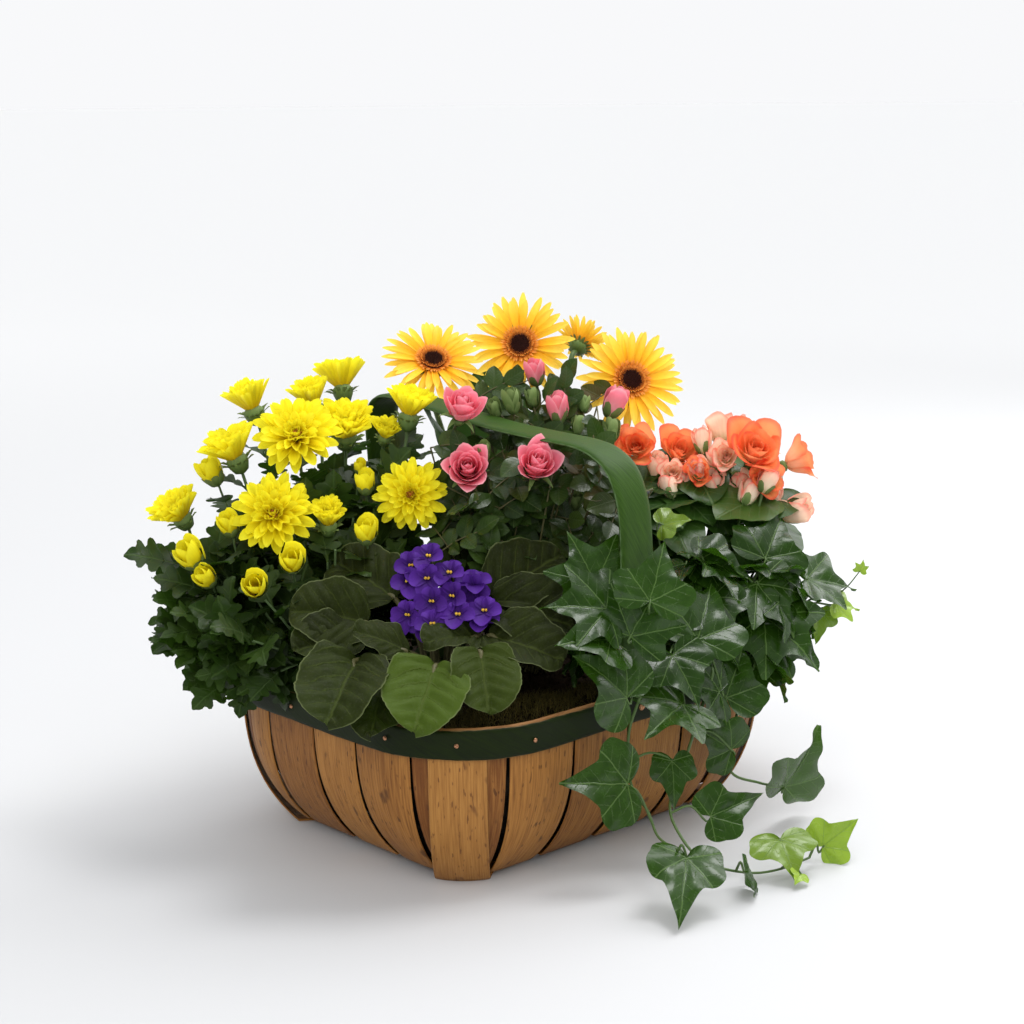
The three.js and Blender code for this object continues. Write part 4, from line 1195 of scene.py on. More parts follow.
# %% Petal material
def petal_finish(name, foot, middle, tip, streaks=0.25, gloss=0.5, edge_colour=None, back=None, glow=0.3,
                 streak_count=26, through=None, outer_lip=False):
    """Colour runs from the foot to the tip, in fine lengthwise streaks."""
    petal = Recipe(bpy.data.materials.new(name))
    place, _, along, edge, tone = place_on_blade(petal)
    streak = noise(petal, place, 1.0, 3, (streak_count, 1.6, 0))
    cloud = noise(petal, place_in_solid(petal), 220, 3)
    colour = petal.blend(petal.blend(foot, middle, along.rise(0.0, 0.55)), tip, along.rise(0.45, 1.0))
    if edge_colour:
        lip = (edge.rise(0.55, 1.0) * along.rise(0.3, 0.9)).high(along.rise(0.86, 1.0))
        lip = lip.low(0.85) * tone.rise(0.35, 0.6) if outer_lip else lip.low(0.85)
        colour = petal.blend(colour, edge_colour, lip)
    if back:
        behind = petal.node("ShaderNodeNewGeometry", output="Backfacing")
        colour = petal.blend(colour, back, behind * (1 - along.rise(0.35, 1.0)) * 0.8)
    light = 1 + (streak - 0.5) * streaks * 2 + (tone - 0.5) * 0.5 + (cloud - 0.5) * 0.25
    colour = petal.shade(colour, light)
    surface = petal.lit(colour, gloss + streak * 0.15, streak + cloud * 0.6, 0.5, 0.0005, specular=0.3)
    return through_light(petal, surface, through or tip, glow)


print("petal material ready")

# %% The plants' petals
MUM_PETAL = petal_finish(
    "mum petal", (0.82, 0.50, 0.008), (0.90, 0.76, 0.012), (0.93, 0.86, 0.03), 0.16, glow=0.4)
GERBERA_PETAL = petal_finish(
    "gerbera petal", (0.88, 0.30, 0.01), (0.94, 0.55, 0.02), (0.96, 0.70, 0.09), 0.25, streak_count=18)
GERBERA_INNER = petal_finish(
    "gerbera inner petal", (0.50, 0.12, 0.015), (0.74, 0.25, 0.03), (0.88, 0.42, 0.08))
ROSE_PETAL = petal_finish(
    "rose petal", (0.64, 0.045, 0.09), (0.84, 0.125, 0.20), (0.89, 0.24, 0.32), 0.1,
    edge_colour=(0.95, 0.48, 0.53), back=(0.90, 0.46, 0.48), glow=0.4, streak_count=8)
BEGONIA_PETAL = petal_finish(
    "begonia petal", (0.97, 0.72, 0.34), (0.97, 0.42, 0.14), (0.95, 0.25, 0.09), 0.16, gloss=0.4,
    edge_colour=(0.80, 0.06, 0.05), back=(0.95, 0.60, 0.38), glow=0.42, streak_count=9,
    through=(0.97, 0.42, 0.18), outer_lip=True)
PALE_PETAL = petal_finish(
    "pale begonia petal", (0.72, 0.76, 0.42), (0.95, 0.84, 0.64), (0.96, 0.62, 0.50), 0.3, gloss=0.4,
    edge_colour=(0.90, 0.13, 0.11), glow=0.45, streak_count=12, through=(0.97, 0.72, 0.52))
VIOLET_PETAL = petal_finish(
    "violet petal", (0.020, 0.004, 0.07), (0.055, 0.010, 0.18), (0.085, 0.020, 0.27), 0.25, gloss=0.6,
    streak_count=7, glow=0.2)
GREEN_PETAL = petal_finish(
    "green sepal", (0.07, 0.12, 0.03), (0.12, 0.19, 0.05), (0.18, 0.25, 0.08), 0.2, glow=0.15)
DISC_DARK = stalk_finish("gerbera disc", (0.020, 0.005, 0.004), (0.075, 0.018, 0.010), 0.6)
POLLEN = stalk_finish("pollen", (0.75, 0.34, 0.02), (0.90, 0.62, 0.08), 0.55)
RUST = stalk_finish("rust floret", (0.36, 0.09, 0.02), (0.74, 0.28, 0.05), 0.55)
print("eight petal finishes, and three for discs and pollen")

# %% [markdown]
# ## Spreading leaves and crumbs
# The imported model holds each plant's foliage as a plain lump. Its surface says where leaves can
# end without running into a neighbour, so leaf places are scattered over it. A Geometry Nodes
# setup could scatter instances, but each leaf here bends in its own way and its stalk has to
# start in the soil, which is easier in Python.

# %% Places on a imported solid
def surface_places(node, count, chance, apart, lowest=100.0):
    """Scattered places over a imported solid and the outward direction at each, in millimetres."""
    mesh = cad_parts[node].data
    mesh.calc_loop_triangles()
    spots = np.empty(len(mesh.vertices) * 3)
    mesh.vertices.foreach_get("co", spots)
    corners = np.empty(len(mesh.loop_triangles) * 3, int)
    mesh.loop_triangles.foreach_get("vertices", corners)
    a, b, c = np.moveaxis((spots.reshape(-1, 3) / MM)[corners.reshape(-1, 3)], 1, 0)
    normal = np.cross(b - a, c - a)
    area = np.linalg.norm(normal, axis=1)
    pick = chance.choice(len(area), count * 15, p=area / area.sum())
    u, v = chance.random((2, len(pick), 1))
    u, v = np.where(u + v > 1, 1 - u, u), np.where(u + v > 1, 1 - v, v)
    places = a[pick] + u * (b - a)[pick] + v * (c - a)[pick]
    outward = unit(normal[pick])
    x, y, z = places.T
    by_the_leg = (np.abs(y) > 104) & (z > 60)
    near_handle = (np.abs(x - HANDLE["x"]) < 24) & (by_the_leg | (z > 250))
    allowed = ~near_handle & (z > lowest) & (outward[:, 2] > -0.8)
    kept = []
    for i in np.flatnonzero(allowed):
        if len(kept) == count:
            break
        if not kept or np.linalg.norm(places[kept] - places[i], axis=1).min() > apart:
            kept.append(i)
    return places[kept], outward[kept]


print("places are found on", len(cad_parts), "packed solids")

# %% Many small copies at once
def many(mould, template, faces, blade, places, along, face, sizes, tones, slot=0):
    """The same small shape at many places. One call for all of them is much faster than a loop."""
    y = unit(along)
    x = unit(np.cross(y, face))
    axes = np.stack([x, y, np.cross(x, y)], axis=1)
    points = places[:, None] + np.asarray(sizes)[:, None, None] * (template @ axes)
    n, count = len(places), template.shape[-2]
    faces = (faces[None] + np.arange(n)[:, None, None] * count).reshape(-1, faces.shape[1])
    mould.add(points.reshape(-1, 3), faces, np.tile(blade, (n, 1)), np.repeat(tones, count), slot)


def nub(profile, sides):
    """A small open turned shape, its axis along Z, with its blade scaled to its height."""
    points = rings_of(profile, sides)
    blade = points / [1, 1, max(height for _, height in profile)]
    return points, grid_faces(len(profile) - 1, sides, closed=True), blade


print("a nub of 4 rings with 5 sides has", len(nub([(1, k) for k in range(4)], 5)[1]), "faces")

# %% [markdown]
# ## Soil and moss finishes
# Potting soil is dark and crumbly, with a few pale fibres. The moss on it is dry and brownish
# green. Their shapes carry most of the look, so three scales of noise are enough here.

# %% Soil and moss finishes
earth = Recipe(bpy.data.materials.new("potting soil"))
solid = place_in_solid(earth)
clods, grit = noise(earth, solid, 160, 6), noise(earth, solid, 1100, 4)
fibre = noise(earth, solid, 420, 4).rise(0.62, 0.72)
colour = earth.blend((0.010, 0.006, 0.004), (0.055, 0.032, 0.018), (clods * 1.3 - 0.2).clipped())
colour = earth.blend(colour, (0.10, 0.085, 0.03), fibre * 0.6)
EARTH = earth.show(earth.lit(colour, 0.8 + grit * 0.15, clods + grit * 0.5, 0.9, 0.002, specular=0.2))
MOSS_STRAND = stalk_finish("moss strand", (0.020, 0.020, 0.005), (0.15, 0.115, 0.025), 0.7)
print("finishes for the soil and the moss")

# %% [markdown]
# ## Soil in the liner
# The soil fills the liner to a finger's breadth below the rim. A displacement texture would make
# a bumpy top, but no loose crumbs. Its top is a grid of rings, pushed up and down by a few sines,
# with small clods strewn over it, and its sides follow the liner down.

# %% Soil in the liner
SOIL_INSET = 16.2
SOIL_WAVES = [  # how fast each rises along X and along Y, and its height
    (.05, .02, 1.3), (-.03, .06, 1.2), (.11, .09, .9), (.16, -.13, .7), (-.31, .24, .5), (.45, .5, .4),
]
SOIL_SIDES = [(0.7, 76), (0.4, 45), (0.12, 18), (0.0, 9.5)]  # share of the wall's height, and height
chance = np.random.default_rng(11)
rim_line = rim_path(SOIL_INSET)[0][:-1]


def soil_height(x, y):
    waves = sum(np.sin(x * fx + y * fy + k * 1.7) * a for k, (fx, fy, a) in enumerate(SOIL_WAVES))
    return SOIL_TOP + waves - 1.5


soil = Mould()
rings = []
for share in np.linspace(0.01, 1, 30):
    ring = rim_line * share
    ring[:, 2] = soil_height(ring[:, 0], ring[:, 1]) + chance.uniform(-0.8, 0.8, len(ring))
    rings.append(ring)
rim_x, rim_y, _ = outline_at(1, SOIL_INSET)
for height, z in SOIL_SIDES:
    half_x, half_y, _ = outline_at(height, SOIL_INSET)
    ring = rim_line * [half_x / rim_x, half_y / rim_y, 0] * 0.992
    ring[:, 2] = z
    rings.append(ring)
rings.append(rings[-1] * [0.02, 0.02, 1])
count = len(rim_line)
soil.add(np.vstack(rings), grid_faces(len(rings) - 1, count, closed=True))
soil.add(rings[0], [np.arange(count)[::-1]])
soil.add(rings[-1], [np.arange(count)])
print("soil", len(rings), "rings of", count, "points")

# %% Crumbs on the soil
CRUMBS = 1800
points, faces, blade = nub([(0.35, -0.5), (0.9, -0.2), (0.8, 0.4), (0.3, 0.75)], 5)
shapes = points[None] * (1 + chance.uniform(-0.3, 0.3, (CRUMBS, len(points), 3)))
ends = np.array([[4, 3, 2, 1], [15, 16, 17, 18]])
pull = np.sqrt(chance.random(CRUMBS))[:, None] * 0.97
places = rim_line[chance.integers(0, count, CRUMBS)] * pull
places[:, 2] = soil_height(places[:, 0], places[:, 1]) + 0.4
many(soil, shapes, np.vstack([faces, ends]), blade, places, chance.normal(size=(CRUMBS, 3)),
     chance.normal(size=(CRUMBS, 3)), chance.uniform(0.6, 2.2, CRUMBS), chance.random(CRUMBS))
soil.piece("potting_soil", [EARTH], ["soil"])

# %% [markdown]
# ## Moss
# The moss lies in low cushions where the soil shows. Hair particles would be easy to comb, but
# would have to be turned into a mesh at the end. Here each strand is a small curled cone, and
# some thousand of them stand on four flat domes, with a tuft of longer dry ones.

# %% A moss strand
STRAND_SIDES, STRAND_STEPS = 3, 5
t = np.linspace(0, 1, STRAND_STEPS + 1)
turns = even_turns(STRAND_SIDES)
path = np.column_stack([0.35 * t**2, 0.1 * np.sin(3 * t), t * (1 - 0.25 * t)])
across = np.column_stack([np.cos(turns), np.sin(turns), np.zeros(STRAND_SIDES)])
points = (path[:, None] + across[None] * (0.035 * (1 - 0.8 * t))[:, None, None]).reshape(-1, 3)
blade = np.stack(np.broadcast_arrays(across[None, :, 0], t[:, None], 0.0), axis=-1).reshape(-1, 3)
faces = grid_faces(STRAND_STEPS, STRAND_SIDES, closed=True)
print("a moss strand has", len(faces), "faces")

# %% Moss
moss = Mould()
MOSS_CUSHIONS = [  # middle, half length along X and Y, height
    ((-62, -84, 97), 48, 24, 9), ((14, -90, 97), 44, 20, 9), ((60, -104, 97), 30, 14, 10),
    ((-110, -60, 96), 30, 30, 5),
]
for (x, y, z), rx, ry, rz in MOSS_CUSHIONS:
    n = int(rx * ry * 1.1)
    spread = np.sqrt(chance.random(n)) * 0.98
    turn = chance.uniform(0, 2 * math.pi, n)
    dx, dy = spread * np.cos(turn), spread * np.sin(turn)
    places = np.column_stack([x + rx * dx, y + ry * dy, z - 2 + rz * np.sqrt(1 - dx**2 - dy**2) * 0.8])
    upward = np.column_stack([dx * 0.5, dy * 0.5, np.ones(n)]) + chance.normal(scale=0.45, size=(n, 3))
    sideways = chance.normal(size=(n, 3)) * [1, 1, 0.2]
    many(moss, points, faces, blade, places, sideways, upward, chance.uniform(4, 10, n), chance.random(n))
TUFT, TUFT_AT = 260, (66, -98, 98)
places = np.column_stack([chance.normal(TUFT_AT[0], 7, TUFT), chance.normal(TUFT_AT[1], 6, TUFT),
                          np.full(TUFT, TUFT_AT[2])])
sideways = chance.normal(size=(TUFT, 3)) * [1, 1, 0.2]
upward = [0, 0, 1] + chance.normal(scale=0.4, size=(TUFT, 3))
many(moss, points, faces, blade, places, sideways, upward, chance.uniform(12, 26, TUFT),
     chance.uniform(0.9, 1.3, TUFT))
moss.piece("moss_strands", [MOSS_STRAND], ["moss"])

# %% [markdown]
# ## Shoots
# A shoot leaves the soil near its plant's crown and leans out to its place, over the rim where it
# has to. A growth simulation could find such paths, but four points and a smooth curve are enough
# where leaves cover most of it.

# %% Shoots
RIM_CLEAR = {"x": 146, "y": 117, "z": 124}  # a shoot that leaves the basket first rises past here


def shoot_path(crown, tip, steps=14, lean=0.45):
    """From the soil to a tip. Lean is how soon the shoot leans out."""
    tip = np.asarray(tip, float)
    root = root_towards(crown, tip)
    knee = root + (tip - root) * lean
    knee[2] = root[2] + (tip[2] - root[2]) * 0.6
    if abs(tip[0]) > RIM_CLEAR["x"] or abs(tip[1]) > RIM_CLEAR["y"]:
        clear = np.array([RIM_CLEAR["x"], RIM_CLEAR["y"]])
        knee[:2] = np.clip(tip[:2], -clear, clear)
        knee[2] = max(RIM_CLEAR["z"], knee[2])
    return smooth_path([root, root + [0, 0, 10], knee, tip], steps)


print("a shoot passes the rim", RIM_CLEAR["z"], "mm above the floor")

# %% [markdown]
# ## Keeping the blooms in view
# A grower turns the leaves away from the blooms. Moving single leaves by hand would do the same,
# but not again after a change. So each bloom's place and radius go into a list, and a leaf that
# would stand between one of them and the front corner is left out.

# %% Keeping the blooms in view
VIEW_FROM = unit(np.array(CAMERA_AT) / MM - [0, 0, 150])
SHOWN = []  # middle and radius of each bloom that shows from the front corner


def keep_in_view(blooms, share):
    """Lists blooms from a table whose rows start with place and width."""
    SHOWN.extend((np.array(at, float), size * share) for at, size, *_ in blooms)


def hides_bloom(middle, reach):
    """Whether a leaf that reaches this far would stand between a bloom and the front corner."""
    for place, radius in SHOWN:
        away = middle - place
        nearer = away @ VIEW_FROM
        if nearer > -4 and np.linalg.norm(away - nearer * VIEW_FROM) < radius + reach:
            return True
    return False


def leaf_hides(foot, along, size):
    middle, tip = foot + along * size * 0.5, foot + along * size * 0.9
    return hides_bloom(middle, size * 0.3) or hides_bloom(tip, size * 0.1)


print("towards the front corner:", np.round(VIEW_FROM, 2))

# %% [markdown]
# ## Leaves round a shoot, and buds
# Leaves stand round a shoot at the golden angle, about 137 degrees apart, so that none shades the
# next. Even spacing would put them in rows. A bud is a tight nest of shells with green sepals
# round its foot, and serves several plants.

# %% Leaves round a shoot, and buds
def aimed(at, tilt, turn):
    """A bloom's place, and the direction that it faces."""
    return np.array(at, float), facing(tilt, turn)


def leafy(mould, path, count, start, size, chance, slot, stop=1.0, **bend):
    """Chrysanthemum leaves round a shoot, from one share of its length to another."""
    turn = chance.uniform(0, 6.28)
    for j in range(count):
        t = start + (stop - start) * (j + chance.uniform(0, 0.5)) / count
        i = min(int(t * (len(path) - 1)), len(path) - 2)
        at, ahead = path[i], unit(path[i + 1] - path[i])
        side = unit(np.cross(ahead, [0.3, 0.2, 0.93]))
        angle = turn + j * GOLDEN_TURN
        out = side * math.cos(angle) + np.cross(ahead, side) * math.sin(angle)
        along = unit(out + ahead * 0.45 + [0, 0, 0.12])
        face = unit(ahead * 0.7 - out * 0.35 + [0, 0, 0.5])
        own = size * (1 - 0.35 * j / count) * chance.uniform(0.85, 1.1)
        if not leaf_hides(at, along, own):
            lay_leaf(mould, "mum", at, along, face, own, chance, slot, **bend)


def bud(mould, at, towards, size, chance, petal_slot, green_slot, length, sepals=5):
    """A closed bud: petals wrapped tight, with sepals round its foot."""
    foot = at - unit(towards) * size * 0.5
    nest_of_shells(mould, foot, towards, size, chance, 7, -30, (0.02, 0.10), (length * 0.9, length),
                   (110, 66), 0.01, petal_slot, 0.5, 8, 6, (30, 70), (4, 14))
    foot = at - unit(towards) * size * 0.52
    for k in range(sepals):
        points, faces, blade = shell_petal(4, 4, 0.10, length * 0.55, 34, (78, 24, 5), 0.5, 0.01, k)
        on_bloom(mould, about_axis(points, k * 2 * math.pi / sepals), faces, blade, foot, towards, size,
                 chance.uniform(0.3, 0.8), green_slot)


print("leaves every", round(math.degrees(GOLDEN_TURN), 1), "degrees round a shoot")

# %% [markdown]
# ## Chrysanthemum
# A spray chrysanthemum has many flat yellow petals in whorls. The outer whorls spread wide, and
# towards the middle the petals get shorter, stand up and curl in over a golden heart. Modelling
# one bloom and copying it would show, because open ones and young cups stand side by side. So one
# function makes a bloom from how far it is still closed, and a table holds the twelve blooms.

# %% Chrysanthemum blooms
MUM_CROWN = (-95, 68)
MUM_BLOOMS = [  # place, width, tilt, turn, how much it is still closed (degrees)
    ((-112, 130, 280), 53, 20, 160, 42), ((-108, 85, 264), 57, 48, 227, 8),
    ((-68, 119, 279), 50, 18, 190, 42), ((-38, 124, 288), 54, 18, 70, 38),
    ((-65, 87, 262), 60, 24, 235, 30), ((-52, 60, 261), 34, 30, 250, 42),
    ((-39, 49, 277), 54, 12, 300, 38), ((-139, 114, 252), 56, 24, 165, 34),
    ((-173, 131, 213), 50, 35, 175, 30), ((-144, 64, 219), 54, 60, 227, 8),
    ((-112, 48, 212), 44, 26, 227, 44), ((-65, 19, 227), 46, 74, 227, 0),
]
MUM_WHORLS = [  # petals, length, width, angles at foot and tip, place along the axis
    (17, 0.50, 0.062, 8, 2, -0.06), (16, 0.44, 0.060, 18, 10, -0.045), (14, 0.34, 0.052, 32, 28, -0.03),
    (14, 0.25, 0.040, 46, 56, -0.015), (14, 0.18, 0.028, 58, 84, 0.0), (12, 0.13, 0.022, 68, 100, 0.0),
]
PETAL_WIDTHS = np.array([0.40, 0.68, 0.92, 1.08, 1.18, 1.15])
FEW_STEPS = np.array([0, 0.4, 0.8, 1.0])
HEART_FLORETS, FLORET_TURN = 26, 2.4


def florets(mould, profile, spots, at, towards, size, up, thick, chance, slot):
    """Small five-sided nubs on a bloom's middle. Spots and thickness are shares of its size."""
    n, side = len(spots), side_of(towards)
    many(mould, *nub(profile, 5), set_down(spots, at, side, towards, size), np.tile(side, (n, 1)), up,
         np.full(n, size * thick), chance.random(n), slot)


def mum_heart(mould, at, towards, size, chance):
    """Small florets on a spiral in the middle."""
    spiral = []
    for k in range(HEART_FLORETS):
        r, angle = 0.065 * math.sqrt(k / HEART_FLORETS), k * FLORET_TURN
        spiral.append((r * math.cos(angle), r * math.sin(angle), 0.06 - r * 0.6))
    up = towards + chance.normal(scale=0.15, size=(HEART_FLORETS, 3))
    florets(mould, [(0.35, 0), (0.5, 1.2), (0.42, 2.2), (0.15, 2.5)], np.array(spiral), at, towards, size,
            up, 0.022, chance, 4)


def mum_bloom(number, at, size, tilt, turn, closed, chance):
    at, towards = aimed(at, tilt, turn)
    mould = Mould()
    # Each whorl further in gets a lower tone, which darkens its petals: painted shade in the bloom's heart.
    for k, (count, length, width, low, high, rise) in enumerate(MUM_WHORLS):
        ring_of_straps(mould, at, towards, size, chance, count, length * (1 - 0.10 * closed / 40),
                       0.02 + 0.006 * (5 - k), PETAL_WIDTHS * width, low + closed * 1.15,
                       high + closed * 1.3, 0.9, rise - 0.03, 0, 0.62 - 0.06 * k, notch=0.05)
    mum_heart(mould, at, towards, size, chance)
    depth = 0.20 + closed * 0.002
    green_cup(mould, at, towards, size, 1, depth)
    ring_of_straps(mould, at, towards, size, chance, 12, 0.17, 0.09, PETAL_WIDTHS * 0.028, 55, 12, 0.4,
                   -0.17, 1, 0.5, columns=2, steps=FEW_STEPS)
    path = bloom_stem(MUM_CROWN, at, towards, depth * size)
    stem(mould, path, 1.4, 1.1, slot=2)
    leafy(mould, path, 7, 0.4, 40, chance, 3, stop=0.82)
    mould.piece(f"mum_bloom_{number}", [MUM_PETAL, GREEN_PETAL, SAGE_STALK, MUM_LEAF, RUST],
                [f"mum_flower_{number}"])


chance = np.random.default_rng(21)
keep_in_view(MUM_BLOOMS, 0.42)
for i, bloom in enumerate(MUM_BLOOMS, 1):
    mum_bloom(i, *bloom, chance)

# %% [markdown]
# ## Chrysanthemum leaves and buds
# The leaves are deeply lobed and stand close on many shoots, which spill over the rim on the
# left. One card of leaves repeated would leave holes, so a shoot goes to each place scattered
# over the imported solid, and to a few more that fill the outline seen from the front.

# %% Chrysanthemum leaves and buds
MUM_BUDS = [
    ((-149, 127, 239), 21, 30, 170), ((-79, 49, 233), 18, 20, 227), ((-104, 18, 208), 20, 30, 227),
    ((-152, 35, 194), 22, 50, 227), ((-176, 43, 180), 22, 60, 227), ((-164, 87, 211), 18, 30, 200),
    ((-188, 81, 181), 19, 50, 200), ((-189, 96, 193), 24, 40, 190), ((-125, 61, 229), 12, 20, 227),
    ((-70, 66, 240), 11, 25, 250),
]
MUM_TIPS = [(-189, 122, 188), (-190, 112, 158), (-186, 56, 122), (-180, 84, 136), (-172, 62, 128),
            (-158, 26, 140), (-120, 30, 205), (-92, 44, 222), (-60, 50, 236), (-130, 70, 222), (-40, 66, 246)]
FRONT = 227  # the compass direction of the front corner
VIOLET_ROOM = (np.array([-146, 4, 160]), 42)  # place and radius, kept free for the violet's leaves
chance = np.random.default_rng(22)
mum = Mould()
keep_in_view(MUM_BUDS, 0.40)
places, outward = surface_places("mum_foliage", 88, chance, 15)
tips = np.vstack([places - outward * 13, MUM_TIPS])
for tip in tips:
    if np.linalg.norm(tip - VIOLET_ROOM[0]) < VIOLET_ROOM[1]:
        continue
    path = shoot_path(MUM_CROWN, tip)
    stem(mum, path[:-1], 1.3, 0.8, slot=1)
    size = chance.uniform(40, 54)
    leafy(mum, path, 5, 0.5, size, chance, 0, fold=0.3, droop=0.7)
    ahead = unit(path[-1] - path[-3])
    for k in range(2):
        way = unit(ahead + chance.normal(scale=0.35, size=3))
        face = unit([0, 0, 1] + facing(80, FRONT) * 0.8 + chance.normal(scale=0.3, size=3))
        if not leaf_hides(path[-2], way, size * 0.78):
            lay_leaf(mum, "mum", path[-2], way, face, size * 0.78, chance, 0, fold=0.3, droop=0.6)
for at, size, tilt, turn in MUM_BUDS:
    at, towards = aimed(at, tilt, turn)
    bud(mum, at, towards, size, chance, 2, 3, 1.1, 8)
    path = bloom_stem(MUM_CROWN, at, towards, size * 0.6)
    stem(mum, path, 1.1, 0.8, slot=1)
    leafy(mum, path, 5, 0.5, 34, chance, 0, stop=0.88)
mum.piece("mum_leaves", [MUM_LEAF, SAGE_STALK, MUM_PETAL, GREEN_PETAL], ["mum_foliage"])

# %% [markdown]
# ## Gerberas
# A gerbera is a flat wheel: two rows of long golden petals, a ring of short orange ones, a ring of
# pollen, and a dark disc. A picture of a disc would be flat when seen from the side. Its florets
# are small nubs that follow the golden angle, like a sunflower's seeds.

# %% Gerbera blooms
GERBERA_CROWN = (72, 60)
GERBERA_BLOOMS = [  # place, width, tilt, turn, how much it is still closed (degrees)
    ((45, 122, 296), 76, 40, 240, 0), ((71, 57, 311), 76, 64, 227, 0), ((147, 74, 302), 48, 60, 20, 32),
    ((137, 11, 283), 80, 64, 242, 0),
]
GERBERA_WHORLS = [  # petals, length, distance from the middle, width, angles, place along the axis, slot
    (25, 0.40, 0.10, 0.036, 6, -2, -0.03, 0), (21, 0.36, 0.09, 0.033, 18, 6, -0.01, 0),
    (40, 0.085, 0.105, 0.010, 40, 14, 0.005, 1), (44, 0.06, 0.095, 0.008, 60, 46, 0.01, 1),
]
GERBERA_FINISHES = [GERBERA_PETAL, GERBERA_INNER, GREEN_PETAL, DISC_DARK, RUST, GREEN_STALK]
RAY_WIDTHS = np.array([0.45, 0.75, 0.98, 1.08, 1.0, 0.75])
DISC_FLORETS, POLLEN_FLORETS, GOLDEN_RADIANS = 210, 90, 2.39996
FLORET = [(0.30, 0), (0.42, 0.9), (0.30, 1.9), (0.08, 2.3)]  # radius and height, from below


def gerbera_disc(mould, at, towards, size, chance):
    """A dark disc of florets whose outer ones are rust, on a low dome, with pollen round it."""
    k = np.arange(DISC_FLORETS)
    r = 0.112 * np.sqrt(k / DISC_FLORETS)
    centre = np.column_stack([r * np.cos(k * GOLDEN_RADIANS), r * np.sin(k * GOLDEN_RADIANS),
                              0.030 - r * 0.10 + 0.5 * r**2])
    up = towards + chance.normal(scale=0.12, size=(DISC_FLORETS, 3))
    outer = r > 0.084
    for part, thick, slot in ((~outer, 0.013, 3), (outer, 0.011, 4)):
        florets(mould, FLORET, centre[part], at, towards, size, up[part], thick, chance, slot)
    turned(mould, [(0.05, -0.05), (0.115, -0.02), (0.118, 0.012), (0.05, 0.028), (0.01, 0.03)], at,
           towards, size, 3)
    angles = even_turns(POLLEN_FLORETS)
    reach = 0.135 + 0.016 * np.cos(np.arange(POLLEN_FLORETS) * 2.4)
    ring = np.column_stack([reach * np.cos(angles), reach * np.sin(angles),
                            np.full(POLLEN_FLORETS, 0.008)])
    up = unit(set_down(ring, (0, 0, 0), side_of(towards), towards)) * 0.5 + towards
    florets(mould, FLORET, ring, at, towards, size, up, 0.013, chance, 4)


def gerbera_bloom(number, at, size, tilt, turn, closed, chance):
    at, towards = aimed(at, tilt, turn)
    mould = Mould()
    for count, length, inner, width, low, high, rise, slot in GERBERA_WHORLS:
        ring_of_straps(mould, at, towards, size, chance, count, length, inner, RAY_WIDTHS * width,
                       low + closed, high + closed * 0.8, 0.5, rise, slot, 0.5, notch=0.05)
    gerbera_disc(mould, at, towards, size, chance)
    green_cup(mould, at, towards, size, 2, 0.17, 0.14)
    for row in range(3):
        ring_of_straps(mould, at, towards, size, chance, 16, 0.15 - 0.02 * row, 0.09 - 0.02 * row,
                       RAY_WIDTHS * 0.02, 40, 14, 0.3, -0.07 - 0.04 * row, 2, 0.3, columns=2,
                       steps=FEW_STEPS)
    stem(mould, bloom_stem(GERBERA_CROWN, at, towards, size * 0.16), 2.4, 2.0, 8, slot=5)
    mould.piece(f"gerbera_bloom_{number}", GERBERA_FINISHES, [f"gerbera_flower_{number}"])


chance = np.random.default_rng(31)
for i, bloom in enumerate(GERBERA_BLOOMS, 1):
    gerbera_bloom(i, *bloom, chance)

# %% [markdown]
# ## Gerbera leaves
# Three long lobed leaves stand up between the blooms. Scattering would hide them, so each has its
# own tip and turn, and a short thick stalk in the soil.

# %% Gerbera leaves
GERBERA_LEAVES = [((24, 108, 262), 130, 1.0), ((88, 110, 286), 50, 1.2), ((150, 74, 240), 20, 1.0)]
for i, (tip, turn, width) in enumerate(GERBERA_LEAVES, 1):
    end = np.array(tip, float)
    foot = np.array([*GERBERA_CROWN, SOIL_TOP], float)
    foot[:2] += (end[:2] - foot[:2]) * 0.12
    along = end - foot
    mould = Mould()
    lay_leaf(mould, "gerbera", foot + along * 0.12, along, facing(50, turn + 180),
             np.linalg.norm(along) * 0.9, chance, 0, 0.4, 0.25, 0.35, 0.02, width=width)
    stem(mould, smooth_path([foot - [0, 0, 3], foot + along * 0.05, foot + along * 0.14], 6), 2.2, 1.6,
         slot=1)
    mould.piece(f"gerbera_leaf_blade_{i}", [GERBERA_LEAF, GREEN_STALK], [f"gerbera_leaf_{i}"])

# %% [markdown]
# ## Miniature rose
# A rose bloom is a nest of shells. The heart is a tight spiral, and each petal further out leans
# further and rolls its lip back to a point. A sphere with a spiral groove would pass from afar
# only. Two more roses are still buds, which show pink between their sepals.

